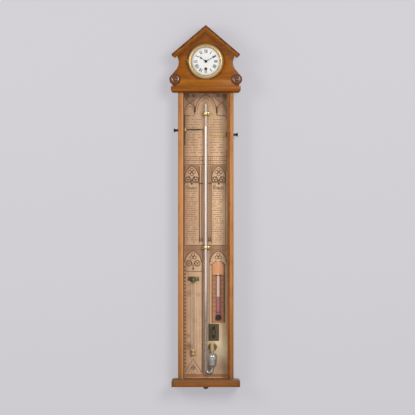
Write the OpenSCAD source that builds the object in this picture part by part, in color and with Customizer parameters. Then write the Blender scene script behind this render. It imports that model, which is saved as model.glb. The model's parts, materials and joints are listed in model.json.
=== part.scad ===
// Wall-hung stick barometer with a timepiece in the gable, in an oak case.
// Drawn with z = 0 at the foot of the case and y = 0 on the wall, then moved down so that the
// origin is the hanging hole in the plate on the back. The front faces -Y.

/* [Case] */
// Width of the case across the stiles
case_w = 180; // [170:1:190]
// Width of each stile, seen from the front
stile_w = 16; // [14:0.5:18]
// Distance from the wall to the front of the stiles
case_d = 64; // [62:1:68]
// Thickness of the backboard
back_t = 10; // [9:0.5:10]
// Height of the underside of the cornice above the foot
cornice_z = 955; // [950:1:960]
// Thickness of the cornice board
cornice_t = 18.5; // [17:0.5:20]
// Width of the cornice board
cornice_w = 226; // [222:1:230]
// Width of the plinth
plinth_w = 222; // [218:1:226]
// Height of the plinth
plinth_h = 24; // [22:0.5:24]
// Radius of the quarter-round on the plinth
plinth_round = 8; // [6:0.5:9]
// How far the plinth and the cornice stand out in front of the stiles
step_out = 18; // [16:0.5:20]

/* [Gable] */
// Height of the ridge above the foot
ridge_z = 1172; // [1168:1:1176]
// Pitch of the roof in degrees
pitch = 40.4; // [40:0.1:41]
// Half the width across the eaves
eave_x = 111.5; // [110:0.5:113]
// Thickness of each roof board
roof_t = 6; // [5:0.5:7]
// Depth of the raking moulding under the roof board
rake_h = 11; // [10:0.5:12]
// Thickness of the pediment board
pediment_t = 16; // [14:0.5:16]
// Radius of the rounded ears beside the clock
ear_r = 18.5; // [18:0.25:19]
// Distance of each ear's centre from the middle
ear_x = 99.5; // [98:0.5:101]
// Height of the ears' centres above the foot
ear_z = 996; // [994:0.5:998]

/* [Barometer] */
// Outer diameter of the long glass tube
tube_od = 12; // [11:0.5:12]
// Bore of the long glass tube
tube_bore = 8; // [6:0.5:8]
// Distance from the wall to the tube's axis
tube_depth = 27; // [26.5:0.5:28]
// Height of the tube's sealed top above the foot
tube_top_z = 923; // [915:1:926]
// Distance between the two limbs of the siphon
limb_gap = 22; // [21:0.5:23]
// Height of the mercury in the cistern
cistern_level_z = 87; // [80:1:92]
// Height of the mercury column above the cistern level, 760 mm at one atmosphere
mercury_h = 758; // [740:1:775]

/* [Pointers] */
// Height of the left knob above the foot
left_knob_z = 832; // [826:1:838]
// Height of the right knob above the foot
right_knob_z = 818; // [812:1:824]
// Module of the pointer pinions and racks
rack_module = 0.8; // [0.8:0.8:0.8]
// Teeth on each pointer pinion
rack_pinion_teeth = 12; // [12:1:12]
// How far each pointer travels up or down from rest
pointer_travel = 40; // [30:1:42]

/* [Timepiece] */
// Height of the dial's centre above the foot
dial_z = 1054; // [1050:1:1056]
// Outer radius of the bezel
bezel_r = 57.5; // [57:0.25:58]
// Radius of the white dial that shows inside the bezel
sight_r = 44.6; // [44:0.2:45]
// Distance from the dial's centre down to the winding square
winding_drop = 24.2; // [24.2:0.1:24.2]
// Radius of the clock drum
drum_r = 50; // [49:0.5:50]

/* [Hidden] */

$fn = 96;
eps = 0.01;
run_gap = 0.05;                 // radial clearance of every running fit
hang_z = 1112;                  // height of the hanging hole
front_y = -case_d;
board_y = front_y - 10;         // front face of the pediment board
hood_y = front_y - step_out;    // front of the plinth, cornice and roof
stile_x = case_w / 2 - stile_w; // inner face of a stile
chart_t = 0.4;
chart_y = -back_t - chart_t;    // front face of the paper chart
glass_t = 2;
glass_y = front_y + 8;          // back face of the front glass
cornice_top = cornice_z + cornice_t;
head_half = 80;                 // half width of the clock compartment
head_t = 8;
roof_len = eave_x / cos(pitch);
tube_y = -tube_depth;
tube_r = tube_od / 2;
bend_z = 54;                    // height where the U-bend begins
mercury_gap = 0.1;

// ---------------------------------------------------------------- shared shapes

// A point on the right-hand roof: along the slope from the ridge, and square to it inwards.
function roof_point(along, under) = [
    along * cos(pitch) - under * sin(pitch),
    ridge_z - along * sin(pitch) - under * cos(pitch)];
// Height of the roof's inner line at x, a given distance under the outer surface.
function roof_line(x, under) = ridge_z - under / cos(pitch) - abs(x) * tan(pitch);

// A box from its low and high corners.
module block(low, high) {
    translate(low) cube([high[0] - low[0], high[1] - low[1], high[2] - low[2]]);
}
// Extrudes a front-view outline (x to the right, y upwards) from y_back forwards.
module plate_at(y_back, thick) {
    translate([0, y_back, 0]) rotate([90, 0, 0]) linear_extrude(thick) children();
}
// A round bar along Y, with its back end at y_back.
module rod_y(x, z, y_back, length, r) {
    translate([x, y_back, z]) rotate([90, 0, 0]) cylinder(h = length, r = r);
}
// A round bar along X, from x_low.
module rod_x(y, z, x_low, length, r) {
    translate([x_low, y, z]) rotate([0, 90, 0]) cylinder(h = length, r = r);
}
// Turned shape about an axis along -Y: the profile is radius against height above y_back.
module turned_y(x, z, y_back) {
    translate([x, y_back, z]) rotate([90, 0, 0]) rotate_extrude() children();
}
// A board with a quarter-round along the top of its front and both ends.
module moulded_board(width, depth, height, round_r) {
    half = width / 2 - round_r;
    flat = height - round_r;
    block([-width / 2, -depth, 0], [width / 2, 0, flat]);
    block([-half, -depth + round_r, flat - eps], [half, 0, height]);
    rod_x(-depth + round_r, flat, -half, 2 * half, round_r);
    for (side = [-1, 1]) {
        translate([side * half, 0, flat]) rotate([90, 0, 0])
            cylinder(h = depth - round_r, r = round_r);
        translate([side * half, -depth + round_r, flat]) sphere(r = round_r);
    }
}
// A countersunk brass screw driven towards +Y, with a slot, its head's face at y_face.
module wood_screw(x, z, y_face, head_r, length) {
    slot_w = head_r * 0.35;
    difference() {
        union() {
            rod_y(x, z, y_face + 1, 1, head_r);
            rod_y(x, z, y_face + length, length - 1 + eps, head_r * 0.5);
        }
        block([x - head_r, y_face - 1, z - slot_w / 2], [x + head_r, y_face + 0.4, z + slot_w / 2]);
    }
}

// ---------------------------------------------------------------- gear teeth

pressure = 20;
wheel_addendum = 0.6;           // in modules: short, so that it clears the small pinions
pinion_addendum = 0.9;
tooth_slack = 0.1;              // share of each tooth's width taken off for backlash

function involute(a) = tan(a) * 180 / PI - a;
function flank_angle(r, base) = r <= base ? 0 : acos(base / r);
// Half of a tooth's angle at radius r.
function half_tooth(r, pitch_r, teeth) =
    let (base = pitch_r * cos(pressure))
    90 / teeth * (1 - tooth_slack) + involute(pressure) - involute(flank_angle(r, base));
function polar(r, a) = [r * cos(a), r * sin(a)];
function tooth_radii(pitch_r, m, tip, root) =
    let (low = pitch_r - root * m, base = pitch_r * cos(pressure), high = pitch_r + tip * m)
    [low, max(low, base), pitch_r, (pitch_r + high) / 2, high];
// Spur gear outline with its first tooth's centre at angle start.
function gear_outline(teeth, m, tip, root, start) =
    let (pitch_r = teeth * m / 2, radii = tooth_radii(pitch_r, m, tip, root))
    [for (i = [0 : teeth - 1]) let (mid = start + i * 360 / teeth)
        each concat(
            [for (k = [0 : 4]) polar(radii[k], mid - half_tooth(radii[k], pitch_r, teeth))],
            [for (k = [4 : -1 : 0]) polar(radii[k], mid + half_tooth(radii[k], pitch_r, teeth))])];
module wheel_2d(teeth, m, start) {
    polygon(gear_outline(teeth, m, wheel_addendum, pinion_addendum + 0.3, start));
}
module pinion_2d(teeth, m, start) {
    polygon(gear_outline(teeth, m, pinion_addendum, wheel_addendum + 0.3, start));
}
// Angle at which the second gear has a gap facing the first, which has a tooth there.
function gap_start(direction, teeth) = direction + 180 - 180 / teeth;

// ---------------------------------------------------------------- case

module head_outline(half, under) {
    polygon([[-half, cornice_top - eps], [half, cornice_top - eps], [half, roof_line(half, under)],
        [0, roof_line(0, under)], [-half, roof_line(half, under)]]);
}
hook_pocket = [26, 6, 34];      // clear room behind the hanging plate for the hook
plate_size = [44, 2, 56];
module backboard() {
    color("saddlebrown") difference() {
        union() {
            block([-case_w / 2, -back_t, plinth_h], [case_w / 2, 0, cornice_top]);
            plate_at(0, back_t) head_outline(head_half, roof_t);
        }
        block([-plate_size[0] / 2, -plate_size[1], hang_z - plate_size[2] / 2],
            [plate_size[0] / 2, 1, hang_z + plate_size[2] / 2]);
        block([-hook_pocket[0] / 2, -plate_size[1] - hook_pocket[1], hang_z - hook_pocket[2] / 2],
            [hook_pocket[0] / 2, 1, hang_z + hook_pocket[2] / 2]);
        for (x = [-1, 1], z = [-1, 1])
            rod_y(x * plate_screw_x, hang_z + z * plate_screw_z, 0, 8, 1.15);
    }
}
arbor_r = 3;
knob_y = -24;                   // depth of the knobs' axes
bevel_w = 3.5;                  // bevel on each stile's inner front edge
bevel_d = 3;
// Plan section as tall as the opening between the plinth and the cornice.
module upright() { translate([0, 0, plinth_h]) linear_extrude(cornice_z - plinth_h) children(); }
module stile(side) {
    knob_z = side < 0 ? left_knob_z : right_knob_z;
    color("peru") difference() {
        upright() polygon([[side * case_w / 2, front_y], [side * case_w / 2, -back_t],
            [side * stile_x, -back_t], [side * stile_x, front_y + bevel_d],
            [side * (stile_x + bevel_w), front_y]]);
        rod_x(knob_y, knob_z, side * (stile_x + stile_w / 2) - stile_w, 2 * stile_w,
            arbor_r + run_gap);
    }
}
module left_stile() { stile(-1); }
module right_stile() { stile(1); }
button_y = -46;
module base_board() {
    color("saddlebrown") moulded_board(plinth_w, -hood_y, plinth_h, plinth_round);
}
module base_drop_button() {
    color("maroon") translate([0, button_y, 0]) rotate_extrude() intersection() {
        translate([0, -9]) square([10, 9]);
        union() {
            translate([0, -2]) square([9.7, 2]);
            circle(r = 9);
        }
    }
}
module cornice_board() {
    color("saddlebrown") translate([0, -back_t, cornice_top]) mirror([0, 0, 1])
        moulded_board(cornice_w, -hood_y - back_t, cornice_t, 8);
}
frieze_top = ear_z - 0.8;
module frieze_rail() {
    color("peru") difference() {
        block([-ear_x + 4, board_y - 3, cornice_top], [ear_x - 4, board_y, frieze_top]);
        for (side = [-1, 1]) rod_y(side * ear_x, ear_z, board_y + 1, 8, ear_r - 0.2);
    }
}
neck_r = 36.9;                  // hollow curve between the ear and the eave
neck_x = 125;
neck_z = 1051;
module pediment_outline() {
    ear_top = [ear_x + ear_r * cos(55), ear_z + ear_r * sin(55)];
    neck_foot = [neck_x - neck_r * cos(45), neck_z - neck_r * sin(45)];
    flank = [[ear_x + 7, cornice_top], [ear_x + 10.5, ear_z - 15.2], [ear_x + 10, ear_z], ear_top,
        neck_foot, [92, 1034], [92, roof_line(92, roof_t)]];
    other_flank = [for (i = [len(flank) - 1 : -1 : 0]) [-flank[i][0], flank[i][1]]];
    difference() {
        union() {
            for (side = [-1, 1]) translate([side * ear_x, ear_z]) circle(r = ear_r);
            polygon(concat(flank, [[0, roof_line(0, roof_t)]], other_flank));
        }
        for (side = [-1, 1]) translate([side * neck_x, neck_z]) circle(r = neck_r);
    }
}
module pediment_board() {
    color("chocolate") difference() {
        plate_at(board_y + pediment_t, pediment_t) pediment_outline();
        rod_y(0, dial_z, board_y + pediment_t + 1, pediment_t + 2, drum_r + 0.2);
    }
}
module head_sides() {
    color("saddlebrown") for (side = [-1, 1])
        plate_at(-back_t, -board_y - pediment_t - back_t) polygon([
        [side * (head_half - head_t), cornice_top], [side * head_half, cornice_top],
        [side * head_half, roof_line(head_half, roof_t)],
        [side * (head_half - head_t), roof_line(head_half - head_t, roof_t)]]);
}
module roof_board() {
    color("saddlebrown") plate_at(0, -hood_y) polygon([
        [0, ridge_z], roof_point(roof_len, 0), roof_point(roof_len, roof_t),
        [0, roof_line(0, roof_t)]]);
}
module left_roof_board() { mirror([1, 0, 0]) roof_board(); }
module right_roof_board() { roof_board(); }
// Section of the raking moulding: x is out from the board, y is down from the roof board.
rake_d = -hood_y + board_y;
module rake_profile() {
    fillet = 3;
    bulge = rake_d - 3;
    square([rake_d, fillet]);
    square([bulge - 2, fillet + bulge]);
    intersection() {
        square([rake_d, rake_h]);
        translate([rake_d - bulge, fillet]) circle(r = bulge);
    }
    square([2, rake_h]);
}
module raking_mouldings() {
    past_ridge = 30;
    color("chocolate") for (side = [0, 1]) mirror([side, 0, 0]) intersection() {
        translate([0, board_y, ridge_z]) rotate([0, pitch, 0])
            translate([-past_ridge, 0, -roof_t]) rotate([90, 0, 90])
            linear_extrude(roof_len + past_ridge) rotate(180) rake_profile();
        block([0, hood_y - 1, cornice_top], [case_w, 0, ridge_z]);
    }
}
module roundel(side) {
    color("maroon") turned_y(side * ear_x, ear_z, board_y) intersection() {
        square([ear_r, 10]);
        difference() {
            union() {
                square([ear_r - 0.6, 2]);
                square([15.5, 3.2]);
                translate([9.8, 2.6]) circle(r = 5.8);
                square([9.8, 5.2]);
            }
            translate([0, 10.6]) circle(r = 6.6);
        }
    }
}
module left_roundel() { roundel(-1); }
module right_roundel() { roundel(1); }
module front_glass() {
    color([0.8, 0.9, 0.95, 0.3]) block([-stile_x + 0.4, glass_y - glass_t, plinth_h + 0.4],
        [stile_x - 0.4, glass_y, cornice_z - 0.4]);
}
bead_w = 4.2;
// Frame of four beads; lip is how thick each upright is at its inner edge.
module bead_frame(y_front, y_back, lip) {
    for (side = [-1, 1]) upright() polygon([[side * stile_x, y_front], [side * stile_x, y_back],
        [side * (stile_x - bead_w), y_back], [side * (stile_x - bead_w), y_back - lip]]);
    for (z = [plinth_h, cornice_z - bead_w])
        block([-stile_x + 1, y_back - 2, z], [stile_x - 1, y_back, z + bead_w]);
}
module glazing_beads() {
    color("saddlebrown") {
        bead_frame(front_y + bevel_d, glass_y - glass_t, 0.5);
        bead_frame(glass_y, glass_y + 4, 4);
    }
}
hanging_hole_r = 4;
plate_screw_x = 17;
plate_screw_z = 22;
module hanging_plate() {
    color("goldenrod") difference() {
        block([-plate_size[0] / 2 + 0.1, -plate_size[1], hang_z - plate_size[2] / 2 + 0.1],
            [plate_size[0] / 2 - 0.1, 0, hang_z + plate_size[2] / 2 - 0.1]);
        rod_y(0, hang_z, 1, plate_size[1] + 2, hanging_hole_r);
        for (x = [-1, 1], z = [-1, 1])
            rod_y(x * plate_screw_x, hang_z + z * plate_screw_z, 1, plate_size[1] + 2, 2.3);
    }
}
module plate_screws() {
    color("goldenrod") for (x = [-1, 1], z = [-1, 1]) mirror([0, 1, 0])
        wood_screw(x * plate_screw_x, hang_z + z * plate_screw_z, 0, 2.2, 7);
}

// ---------------------------------------------------------------- barometer

module paper_chart() {
    color("tan") block([-stile_x + 0.2, chart_y, plinth_h + 0.2],
        [stile_x - 0.2, -back_t, cornice_z - 0.2]);
}
cistern_r = 15;
// Outside of the cistern bottle, drawn about its own axis; shrink gives the inside.
module bottle_profile(shrink) {
    intersection() {
        translate([0, bend_z]) square([40, 70]);
        union() {
            translate([0, bend_z - 1]) square([5.5 - shrink, 12]);
            translate([0, 94]) circle(r = cistern_r - shrink);
            translate([0, 72]) circle(r = 13 - shrink);
            polygon([[0, 72], [13 - shrink, 72], [cistern_r - shrink, 94], [0, 94]]);
            translate([0, bend_z]) square([5.8 - shrink, 63]);
        }
    }
}
module siphon_bend(r) {
    translate([limb_gap / 2, tube_y, bend_z]) rotate([90, 0, 0]) rotate([0, 0, 180])
        rotate_extrude(angle = 180) translate([limb_gap / 2, 0]) circle(r = r);
}
bend_r = 5.5;
module barometer_tube() {
    bore_r = tube_bore / 2;
    color([0.85, 0.9, 0.92, 0.5]) difference() {
        union() {
            translate([0, tube_y, bend_z]) cylinder(h = tube_top_z - tube_r - bend_z, r = tube_r);
            translate([0, tube_y, tube_top_z - tube_r]) sphere(r = tube_r);
            siphon_bend(bend_r);
            translate([limb_gap, tube_y, 0]) rotate_extrude() bottle_profile(0);
        }
        translate([0, tube_y, bend_z - eps])
            cylinder(h = tube_top_z - tube_r - bend_z, r = bore_r);
        translate([0, tube_y, tube_top_z - tube_r - eps]) sphere(r = bore_r);
        siphon_bend(bore_r - 0.5);
        translate([limb_gap, tube_y, -eps]) rotate_extrude() bottle_profile(1.8);
        translate([limb_gap, tube_y, 110]) cylinder(h = 10, r = 4);
    }
}
module mercury() {
    bore_r = tube_bore / 2 - mercury_gap;
    top_z = cistern_level_z + mercury_h;
    color("silver") {
        translate([0, tube_y, bend_z]) cylinder(h = top_z - bend_z, r = bore_r);
        siphon_bend(bore_r - 0.5);
        translate([limb_gap, tube_y, 0]) rotate_extrude() intersection() {
            bottle_profile(1.8 + mercury_gap);
            square([40, cistern_level_z]);
        }
    }
}
strap_z = [886.5, 450];
strap_w = 23.6;
strap_h = 8.4;
strap_t = 0.8;
strap_screw_x = 9.4;
block_y = tube_y + 6.6;         // front face of the packing blocks
// Band over an upright tube: a half ring, a leg each side back to face_y, and a foot on each leg.
// size is the band's width across its feet, its thickness and its height.
module band(x, y, z, inner, face_y, size) {
    outer = inner + size[1];
    low = z - size[2] / 2;
    high = z + size[2] / 2;
    difference() {
        union() {
            translate([x, y, low]) cylinder(h = size[2], r = outer);
            block([x - outer, y, low], [x + outer, face_y, high]);
            block([x - size[0] / 2, face_y - size[1], low], [x + size[0] / 2, face_y, high]);
        }
        translate([x, y, low - 1]) cylinder(h = size[2] + 2, r = inner);
        block([x - inner, y, low - 1], [x + inner, face_y + 1, high + 1]);
    }
}
module tube_strap(z) {
    difference() {
        band(0, tube_y, z, tube_r + 0.1, block_y, [strap_w, strap_t, strap_h]);
        for (side = [-1, 1]) rod_y(side * strap_screw_x, z, block_y + 1, 3, 1.1);
    }
}
module tube_straps() { color("goldenrod") for (z = strap_z) tube_strap(z); }
module tube_blocks() {
    color("sienna") for (z = strap_z) difference() {
        block([-strap_w / 2, block_y, z - 6], [strap_w / 2, chart_y, z + 6]);
        for (side = [-1, 1]) rod_y(side * strap_screw_x, z, block_y + 5.5, 6, 1.1);
    }
}
cap_r = 7.7;
cap_z = 114;
cap_h = 25;
module cistern_cap() {
    color("goldenrod") translate([limb_gap, tube_y, 0]) difference() {
        rotate_extrude() intersection() {
            translate([0, cap_z]) square([cap_r + 1, cap_h + 4]);
            union() {
                translate([0, cap_z]) square([cap_r, cap_h]);
                translate([0, cap_z + cap_h]) circle(r = 3.2);
                translate([0, cap_z + 2]) square([cap_r + 0.6, 2]);
                translate([0, cap_z + cap_h - 4]) square([cap_r + 0.6, 2]);
            }
        }
        translate([0, 0, cap_z - 1]) cylinder(h = 16, r = 5.9);
    }
}
cistern_strap_z = cap_z + 12.5;
cistern_strap_w = 29;
cistern_screw_x = 11.8;
// Spring clip behind the cap: two arms that reach past its widest line, on a rounded foot.
module cistern_strap() {
    inner = cap_r + 0.1;
    outer = inner + 1;
    half_h = 5;
    color("darkolivegreen") translate([limb_gap, 0, cistern_strap_z]) difference() {
        union() {
            translate([0, tube_y, -half_h]) cylinder(h = 2 * half_h, r = outer);
            block([-outer, tube_y, -half_h], [outer, chart_y, half_h]);
            plate_at(chart_y, 1) intersection() {
                circle(r = cistern_strap_w / 2);
                square([cistern_strap_w, 24], center = true);
            }
        }
        translate([0, tube_y, -half_h - 1]) cylinder(h = 2 * half_h + 2, r = inner);
        block([-inner, tube_y, -half_h - 1], [inner, chart_y - 1, half_h + 1]);
        block([-outer - 1, tube_y - outer - 1, -half_h - 1], [outer + 1, tube_y - 3, half_h + 1]);
        for (side = [-1, 1]) rod_y(side * cistern_screw_x, 0, chart_y + 1, 3, 1.1);
    }
}
label_screw_z = 21;
// Every small brass screw inside the case, head and shank.
module inner_screws() {
    color("darkgoldenrod") {
        for (z = strap_z, side = [-1, 1])
            wood_screw(side * strap_screw_x, z, block_y - strap_t - 1, 2, 6);
        for (side = [-1, 1])
            wood_screw(limb_gap + side * cistern_screw_x, cistern_strap_z, chart_y - 2, 2, 2);
        for (side = [-1, 1])
            wood_screw(label_x, label_z + side * label_screw_z, chart_y - label_t - 1, 2.4, 2);
        for (side = [-1, 1])
            wood_screw(storm_x + side * storm_screw_x, storm_strap_z, chart_y - 1.8, 2, 1.8);
    }
}

// ---------------------------------------------------------------- thermometer

thermo_x = 40.5;
thermo_w = 39.6;
thermo_z = [207, 404];
thermo_t = 5;
thermo_tube_r = 4.75;
thermo_y = chart_y - thermo_t - thermo_tube_r - 0.1;
bulb_z = 222;
bulb_r = 9;
thermo_top_z = 367;
spirit_top_z = 290;
module thermometer_board() {
    spring_z = thermo_z[1] - thermo_w / 2;
    color("darksalmon") difference() {
        plate_at(chart_y, thermo_t) union() {
            translate([thermo_x - thermo_w / 2, thermo_z[0]])
                square([thermo_w, spring_z - thermo_z[0]]);
            translate([thermo_x, spring_z]) circle(r = thermo_w / 2);
        }
        rod_y(thermo_x, bulb_z, chart_y - 0.6, thermo_t, bulb_r + 1.4);
    }
}
module thermometer_tube() {
    color([0.95, 0.9, 0.92, 0.6]) translate([thermo_x, thermo_y, 0]) difference() {
        union() {
            translate([0, 0, bulb_z]) cylinder(h = thermo_top_z - bulb_z - thermo_tube_r,
                r = thermo_tube_r);
            translate([0, 0, thermo_top_z - thermo_tube_r]) sphere(r = thermo_tube_r);
            translate([0, 0, bulb_z]) sphere(r = bulb_r - 0.3);
        }
        translate([0, 0, bulb_z]) sphere(r = bulb_r - 1.1);
        translate([0, 0, bulb_z]) cylinder(h = thermo_top_z - bulb_z - 5, r = 1.5);
    }
}
module thermometer_spirit() {
    color("purple") translate([thermo_x, thermo_y, bulb_z]) {
        sphere(r = bulb_r - 1.2);
        cylinder(h = spirit_top_z - bulb_z, r = 1.4);
    }
}
// Clips over the thermometer tube: height, and width across the feet.
thermo_clips = [[360, 22], [240, 15]];
module thermometer_clips() {
    color("dimgray") for (clip = thermo_clips)
        band(thermo_x, thermo_y, clip[0], thermo_tube_r + 0.1, chart_y - thermo_t,
            [clip[1], 0.7, 2.6]);
}

// ---------------------------------------------------------------- label and storm glass

label_x = 25.6;
label_z = 174;
label_t = 1;
module label_plate() {
    color("darkolivegreen") difference() {
        block([label_x - 17, chart_y - label_t, label_z - 27.5],
            [label_x + 17, chart_y, label_z + 27.5]);
        for (side = [-1, 1])
            rod_y(label_x, label_z + side * label_screw_z, chart_y + 1, 3, 1.3);
    }
}
storm_x = -40.5;
storm_r = 6.25;
storm_z = [104, 356];
storm_y = chart_y - storm_r - 1.4;
storm_fill_z = 318;
module storm_glass_tube() {
    color([0.9, 0.92, 0.9, 0.4]) translate([storm_x, storm_y, 0]) difference() {
        union() {
            translate([0, 0, storm_z[0] + storm_r]) cylinder(
                h = storm_z[1] - storm_z[0] - storm_r, r = storm_r);
            translate([0, 0, storm_z[0] + storm_r]) sphere(r = storm_r);
        }
        translate([0, 0, storm_z[0] + storm_r]) cylinder(
            h = storm_z[1] - storm_z[0] - storm_r - 2, r = storm_r - 1);
        translate([0, 0, storm_z[0] + storm_r]) sphere(r = storm_r - 1);
    }
}
module storm_glass_liquid() {
    color([0.9, 0.85, 0.75, 0.6]) translate([storm_x, storm_y, storm_z[0] + storm_r]) {
        cylinder(h = storm_fill_z - storm_z[0] - storm_r, r = storm_r - 1.1);
        sphere(r = storm_r - 1.1);
    }
}
storm_strap_z = 346;
storm_strap_w = 38;
storm_screw_x = 15.2;
// Saddle strap whose lower edge dips under the tube like a shield.
module storm_glass_strap() {
    inner = storm_r + 0.1;
    half_h = 9.7;
    color("darkolivegreen") translate([storm_x, 0, storm_strap_z]) difference() {
        intersection() {
            union() {
                translate([0, storm_y, -half_h - 4]) cylinder(h = 2 * half_h + 4, r = inner + 0.8);
                block([-inner - 0.8, storm_y, -half_h - 4], [inner + 0.8, chart_y, half_h]);
                block([-storm_strap_w / 2, chart_y - 0.8, -half_h],
                    [storm_strap_w / 2, chart_y, half_h]);
            }
            plate_at(0, 60) union() {
                translate([-storm_strap_w / 2, -half_h + 5])
                    square([storm_strap_w, 2 * half_h - 5]);
                translate([0, 3.3]) circle(r = 13);
            }
        }
        translate([0, storm_y, -20]) cylinder(h = 40, r = inner);
        block([-inner, storm_y, -20], [inner, chart_y + 1, 20]);
        for (side = [-1, 1]) rod_y(side * storm_screw_x, 0, chart_y + 1, 3, 1.1);
    }
}
// Brass cradle under the storm glass: a collar with a window, a floor and a back foot.
module storm_glass_clip() {
    inner = storm_r + 0.1;
    color("goldenrod") translate([storm_x, 0, 0]) difference() {
        union() {
            translate([0, storm_y, 101]) cylinder(h = 15.8, r = inner + 1.1);
            block([-inner - 1.1, storm_y, 101], [inner + 1.1, chart_y, 116.8]);
        }
        translate([0, storm_y, 103.4]) cylinder(h = 20, r = inner);
        block([-inner, storm_y, 103.4], [inner, chart_y - 1, 120]);
        block([-4.2, storm_y - 10, 105.4], [4.2, storm_y, 112.8]);
    }
}

// ---------------------------------------------------------------- knobs and pointers

pinion_x = 69;                  // middle of the pinion and of the rack
pinion_w = 4;
rack_pitch_r = rack_pinion_teeth * rack_module / 2;
rack_addendum = 0.6;
rack_pitch_y = knob_y + rack_pitch_r;
rack_back_y = rack_pitch_y + 6;
guide_x = [64.2, stile_x];
guide_h = 16;
knob_len = 14;
// Knob: a trumpet-flared head on a thin neck, turned about X.
module pointer_knob(side) {
    z = side < 0 ? left_knob_z : right_knob_z;
    color("black") translate([side * (case_w / 2 + 0.4), knob_y, z]) rotate([0, side * 90, 0])
        difference() {
            rotate_extrude() difference() {
                union() {
                    square([3.8, knob_len]);
                    translate([0, 7]) square([7, knob_len - 8.2]);
                    square([5.4, 1.4]);
                    translate([0, knob_len - 1.2]) square([6.2, 1.2]);
                }
                translate([9.2, 6.4]) circle(r = 5.4);
            }
            translate([0, 0, -1]) cylinder(h = 7.1, r = 2.02);
        }
}
module left_knob() { pointer_knob(-1); }
module right_knob() { pointer_knob(1); }
module pinion_arbor(side) {
    z = side < 0 ? left_knob_z : right_knob_z;
    color("lightsteelblue") translate([0, knob_y, z]) mirror([side < 0 ? 1 : 0, 0, 0]) {
        rotate([0, 90, 0]) {
            translate([0, 0, pinion_x + pinion_w / 2])
                cylinder(h = case_w / 2 + 0.4 - pinion_x - pinion_w / 2, r = arbor_r);
            translate([0, 0, case_w / 2 + 0.4 - eps]) cylinder(h = 6, r = 2);
            translate([0, 0, guide_x[0] + 0.3]) cylinder(h = 4, r = 1.5);
        }
        // the gear's drawing plane is turned so that its first tooth points back, at the rack
        translate([pinion_x - pinion_w / 2, 0, 0]) rotate([90, 0, 90]) linear_extrude(pinion_w)
            pinion_2d(rack_pinion_teeth, rack_module, 0);
    }
}
module left_pinion_arbor() { pinion_arbor(-1); }
module right_pinion_arbor() { pinion_arbor(1); }
// Rack outline in side view: x is depth, y is height above the pinion's axis.
function rack_teeth(m, count) = [for (i = [-count : count]) let (
        mid = (i + 0.5) * PI * m,
        half = PI * m / 4 * (1 - tooth_slack),
        top = half - rack_addendum * m * tan(pressure),
        foot = half + 1.2 * m * tan(pressure))
    each [[1.2 * m, mid - foot], [-rack_addendum * m, mid - top],
        [-rack_addendum * m, mid + top], [1.2 * m, mid + foot]]];
rack_half = 19;                 // teeth above and below the axis
pointer_y = [rack_back_y - 1.4, rack_back_y - 0.2];
module pointer_rack(side, z, arm_z, tip_x) {
    rack_w = 3.8;
    teeth = rack_teeth(rack_module, rack_half);
    first = teeth[0][1];
    last = teeth[len(teeth) - 1][1];
    color("goldenrod") translate([0, 0, z]) mirror([side < 0 ? 1 : 0, 0, 0]) {
        translate([pinion_x - rack_w / 2, rack_pitch_y, 0]) rotate([90, 0, 90])
            linear_extrude(rack_w) polygon(concat([[rack_back_y - rack_pitch_y, first]], teeth,
                [[rack_back_y - rack_pitch_y, last]]));
        plate_at(pointer_y[1], pointer_y[1] - pointer_y[0]) polygon([
            [pinion_x - 1, arm_z - 2.6], [pinion_x - 1, arm_z + 2.6], [tip_x + 12, arm_z + 2],
            [tip_x, arm_z + 0.5], [tip_x, arm_z - 0.5], [tip_x + 12, arm_z - 2]]);
    }
}
module left_pointer_rack() { pointer_rack(-1, left_knob_z, 3, 8.5); }
module right_pointer_rack() { pointer_rack(1, right_knob_z, 0, 13); }
module rack_guide(side) {
    z = side < 0 ? left_knob_z : right_knob_z;
    wall = 1.4;
    front = knob_y - 7.4;
    translate([0, 0, z - guide_h / 2]) mirror([side < 0 ? 1 : 0, 0, 0]) difference() {
        union() {
            block([guide_x[1] - wall, front, 0], [guide_x[1], chart_y, guide_h]);
            block([guide_x[0], front, 0], [guide_x[1], front + wall, guide_h]);
            block([guide_x[0], front, 0], [guide_x[0] + wall, pointer_y[0] - 0.6, guide_h]);
            block([guide_x[0], rack_back_y + 0.6, 0], [guide_x[1], chart_y, guide_h]);
        }
        rod_x(knob_y, guide_h / 2, guide_x[0] - 1, 4, 1.5 + run_gap);
        rod_x(knob_y, guide_h / 2, guide_x[1] - 3, 4, arbor_r + run_gap);
    }
}
module rack_guides() {
    color("darkgoldenrod") for (side = [-1, 1]) rack_guide(side);
}

// ---------------------------------------------------------------- dial, bezel and hands

drum_back_y = -26;
dial_y = board_y - 2.3;         // back face of the dial, on the drum's flange
dial_t = 1.2;
hinge_x = -60.2;
hinge_y = board_y - 4;
hinge_pin_r = 0.9;
flange_r = 56;
module clock_drum() {
    color("goldenrod") {
        difference() {
            union() {
                rod_y(0, dial_z, drum_back_y, drum_back_y - dial_y, drum_r);
                rod_y(0, dial_z, board_y, board_y - dial_y, flange_r);
                block([hinge_x - 1.6, dial_y + 0.6, dial_z - 6.6], [-flange_r + 3, board_y, dial_z + 6.6]);
                for (side = [-1, 1]) hinge_lug(side);
            }
            rod_y(0, dial_z, drum_back_y - 1, 60, drum_r - 1);
        }
        translate([hinge_x, hinge_y, dial_z - 6.6]) cylinder(h = 13.2, r = hinge_pin_r);
    }
}
module hinge_lug(side) {
    z = dial_z + side * 5.5;
    translate([hinge_x, hinge_y, z - 1.1]) cylinder(h = 2.2, r = 1.6);
    block([hinge_x - 1.6, hinge_y, z - 1.1], [hinge_x + 1.6, board_y, z + 1.1]);
}
module dial() {
    color("white") difference() {
        rod_y(0, dial_z, dial_y, dial_t, drum_r);
        rod_y(0, dial_z, dial_y + 1, 4, 3);
        rod_y(0, dial_z - winding_drop, dial_y + 1, 4, 3.9);
    }
}
bezel_back = 0.4;               // gap behind the closed bezel
bezel_h = 11.5;
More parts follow.
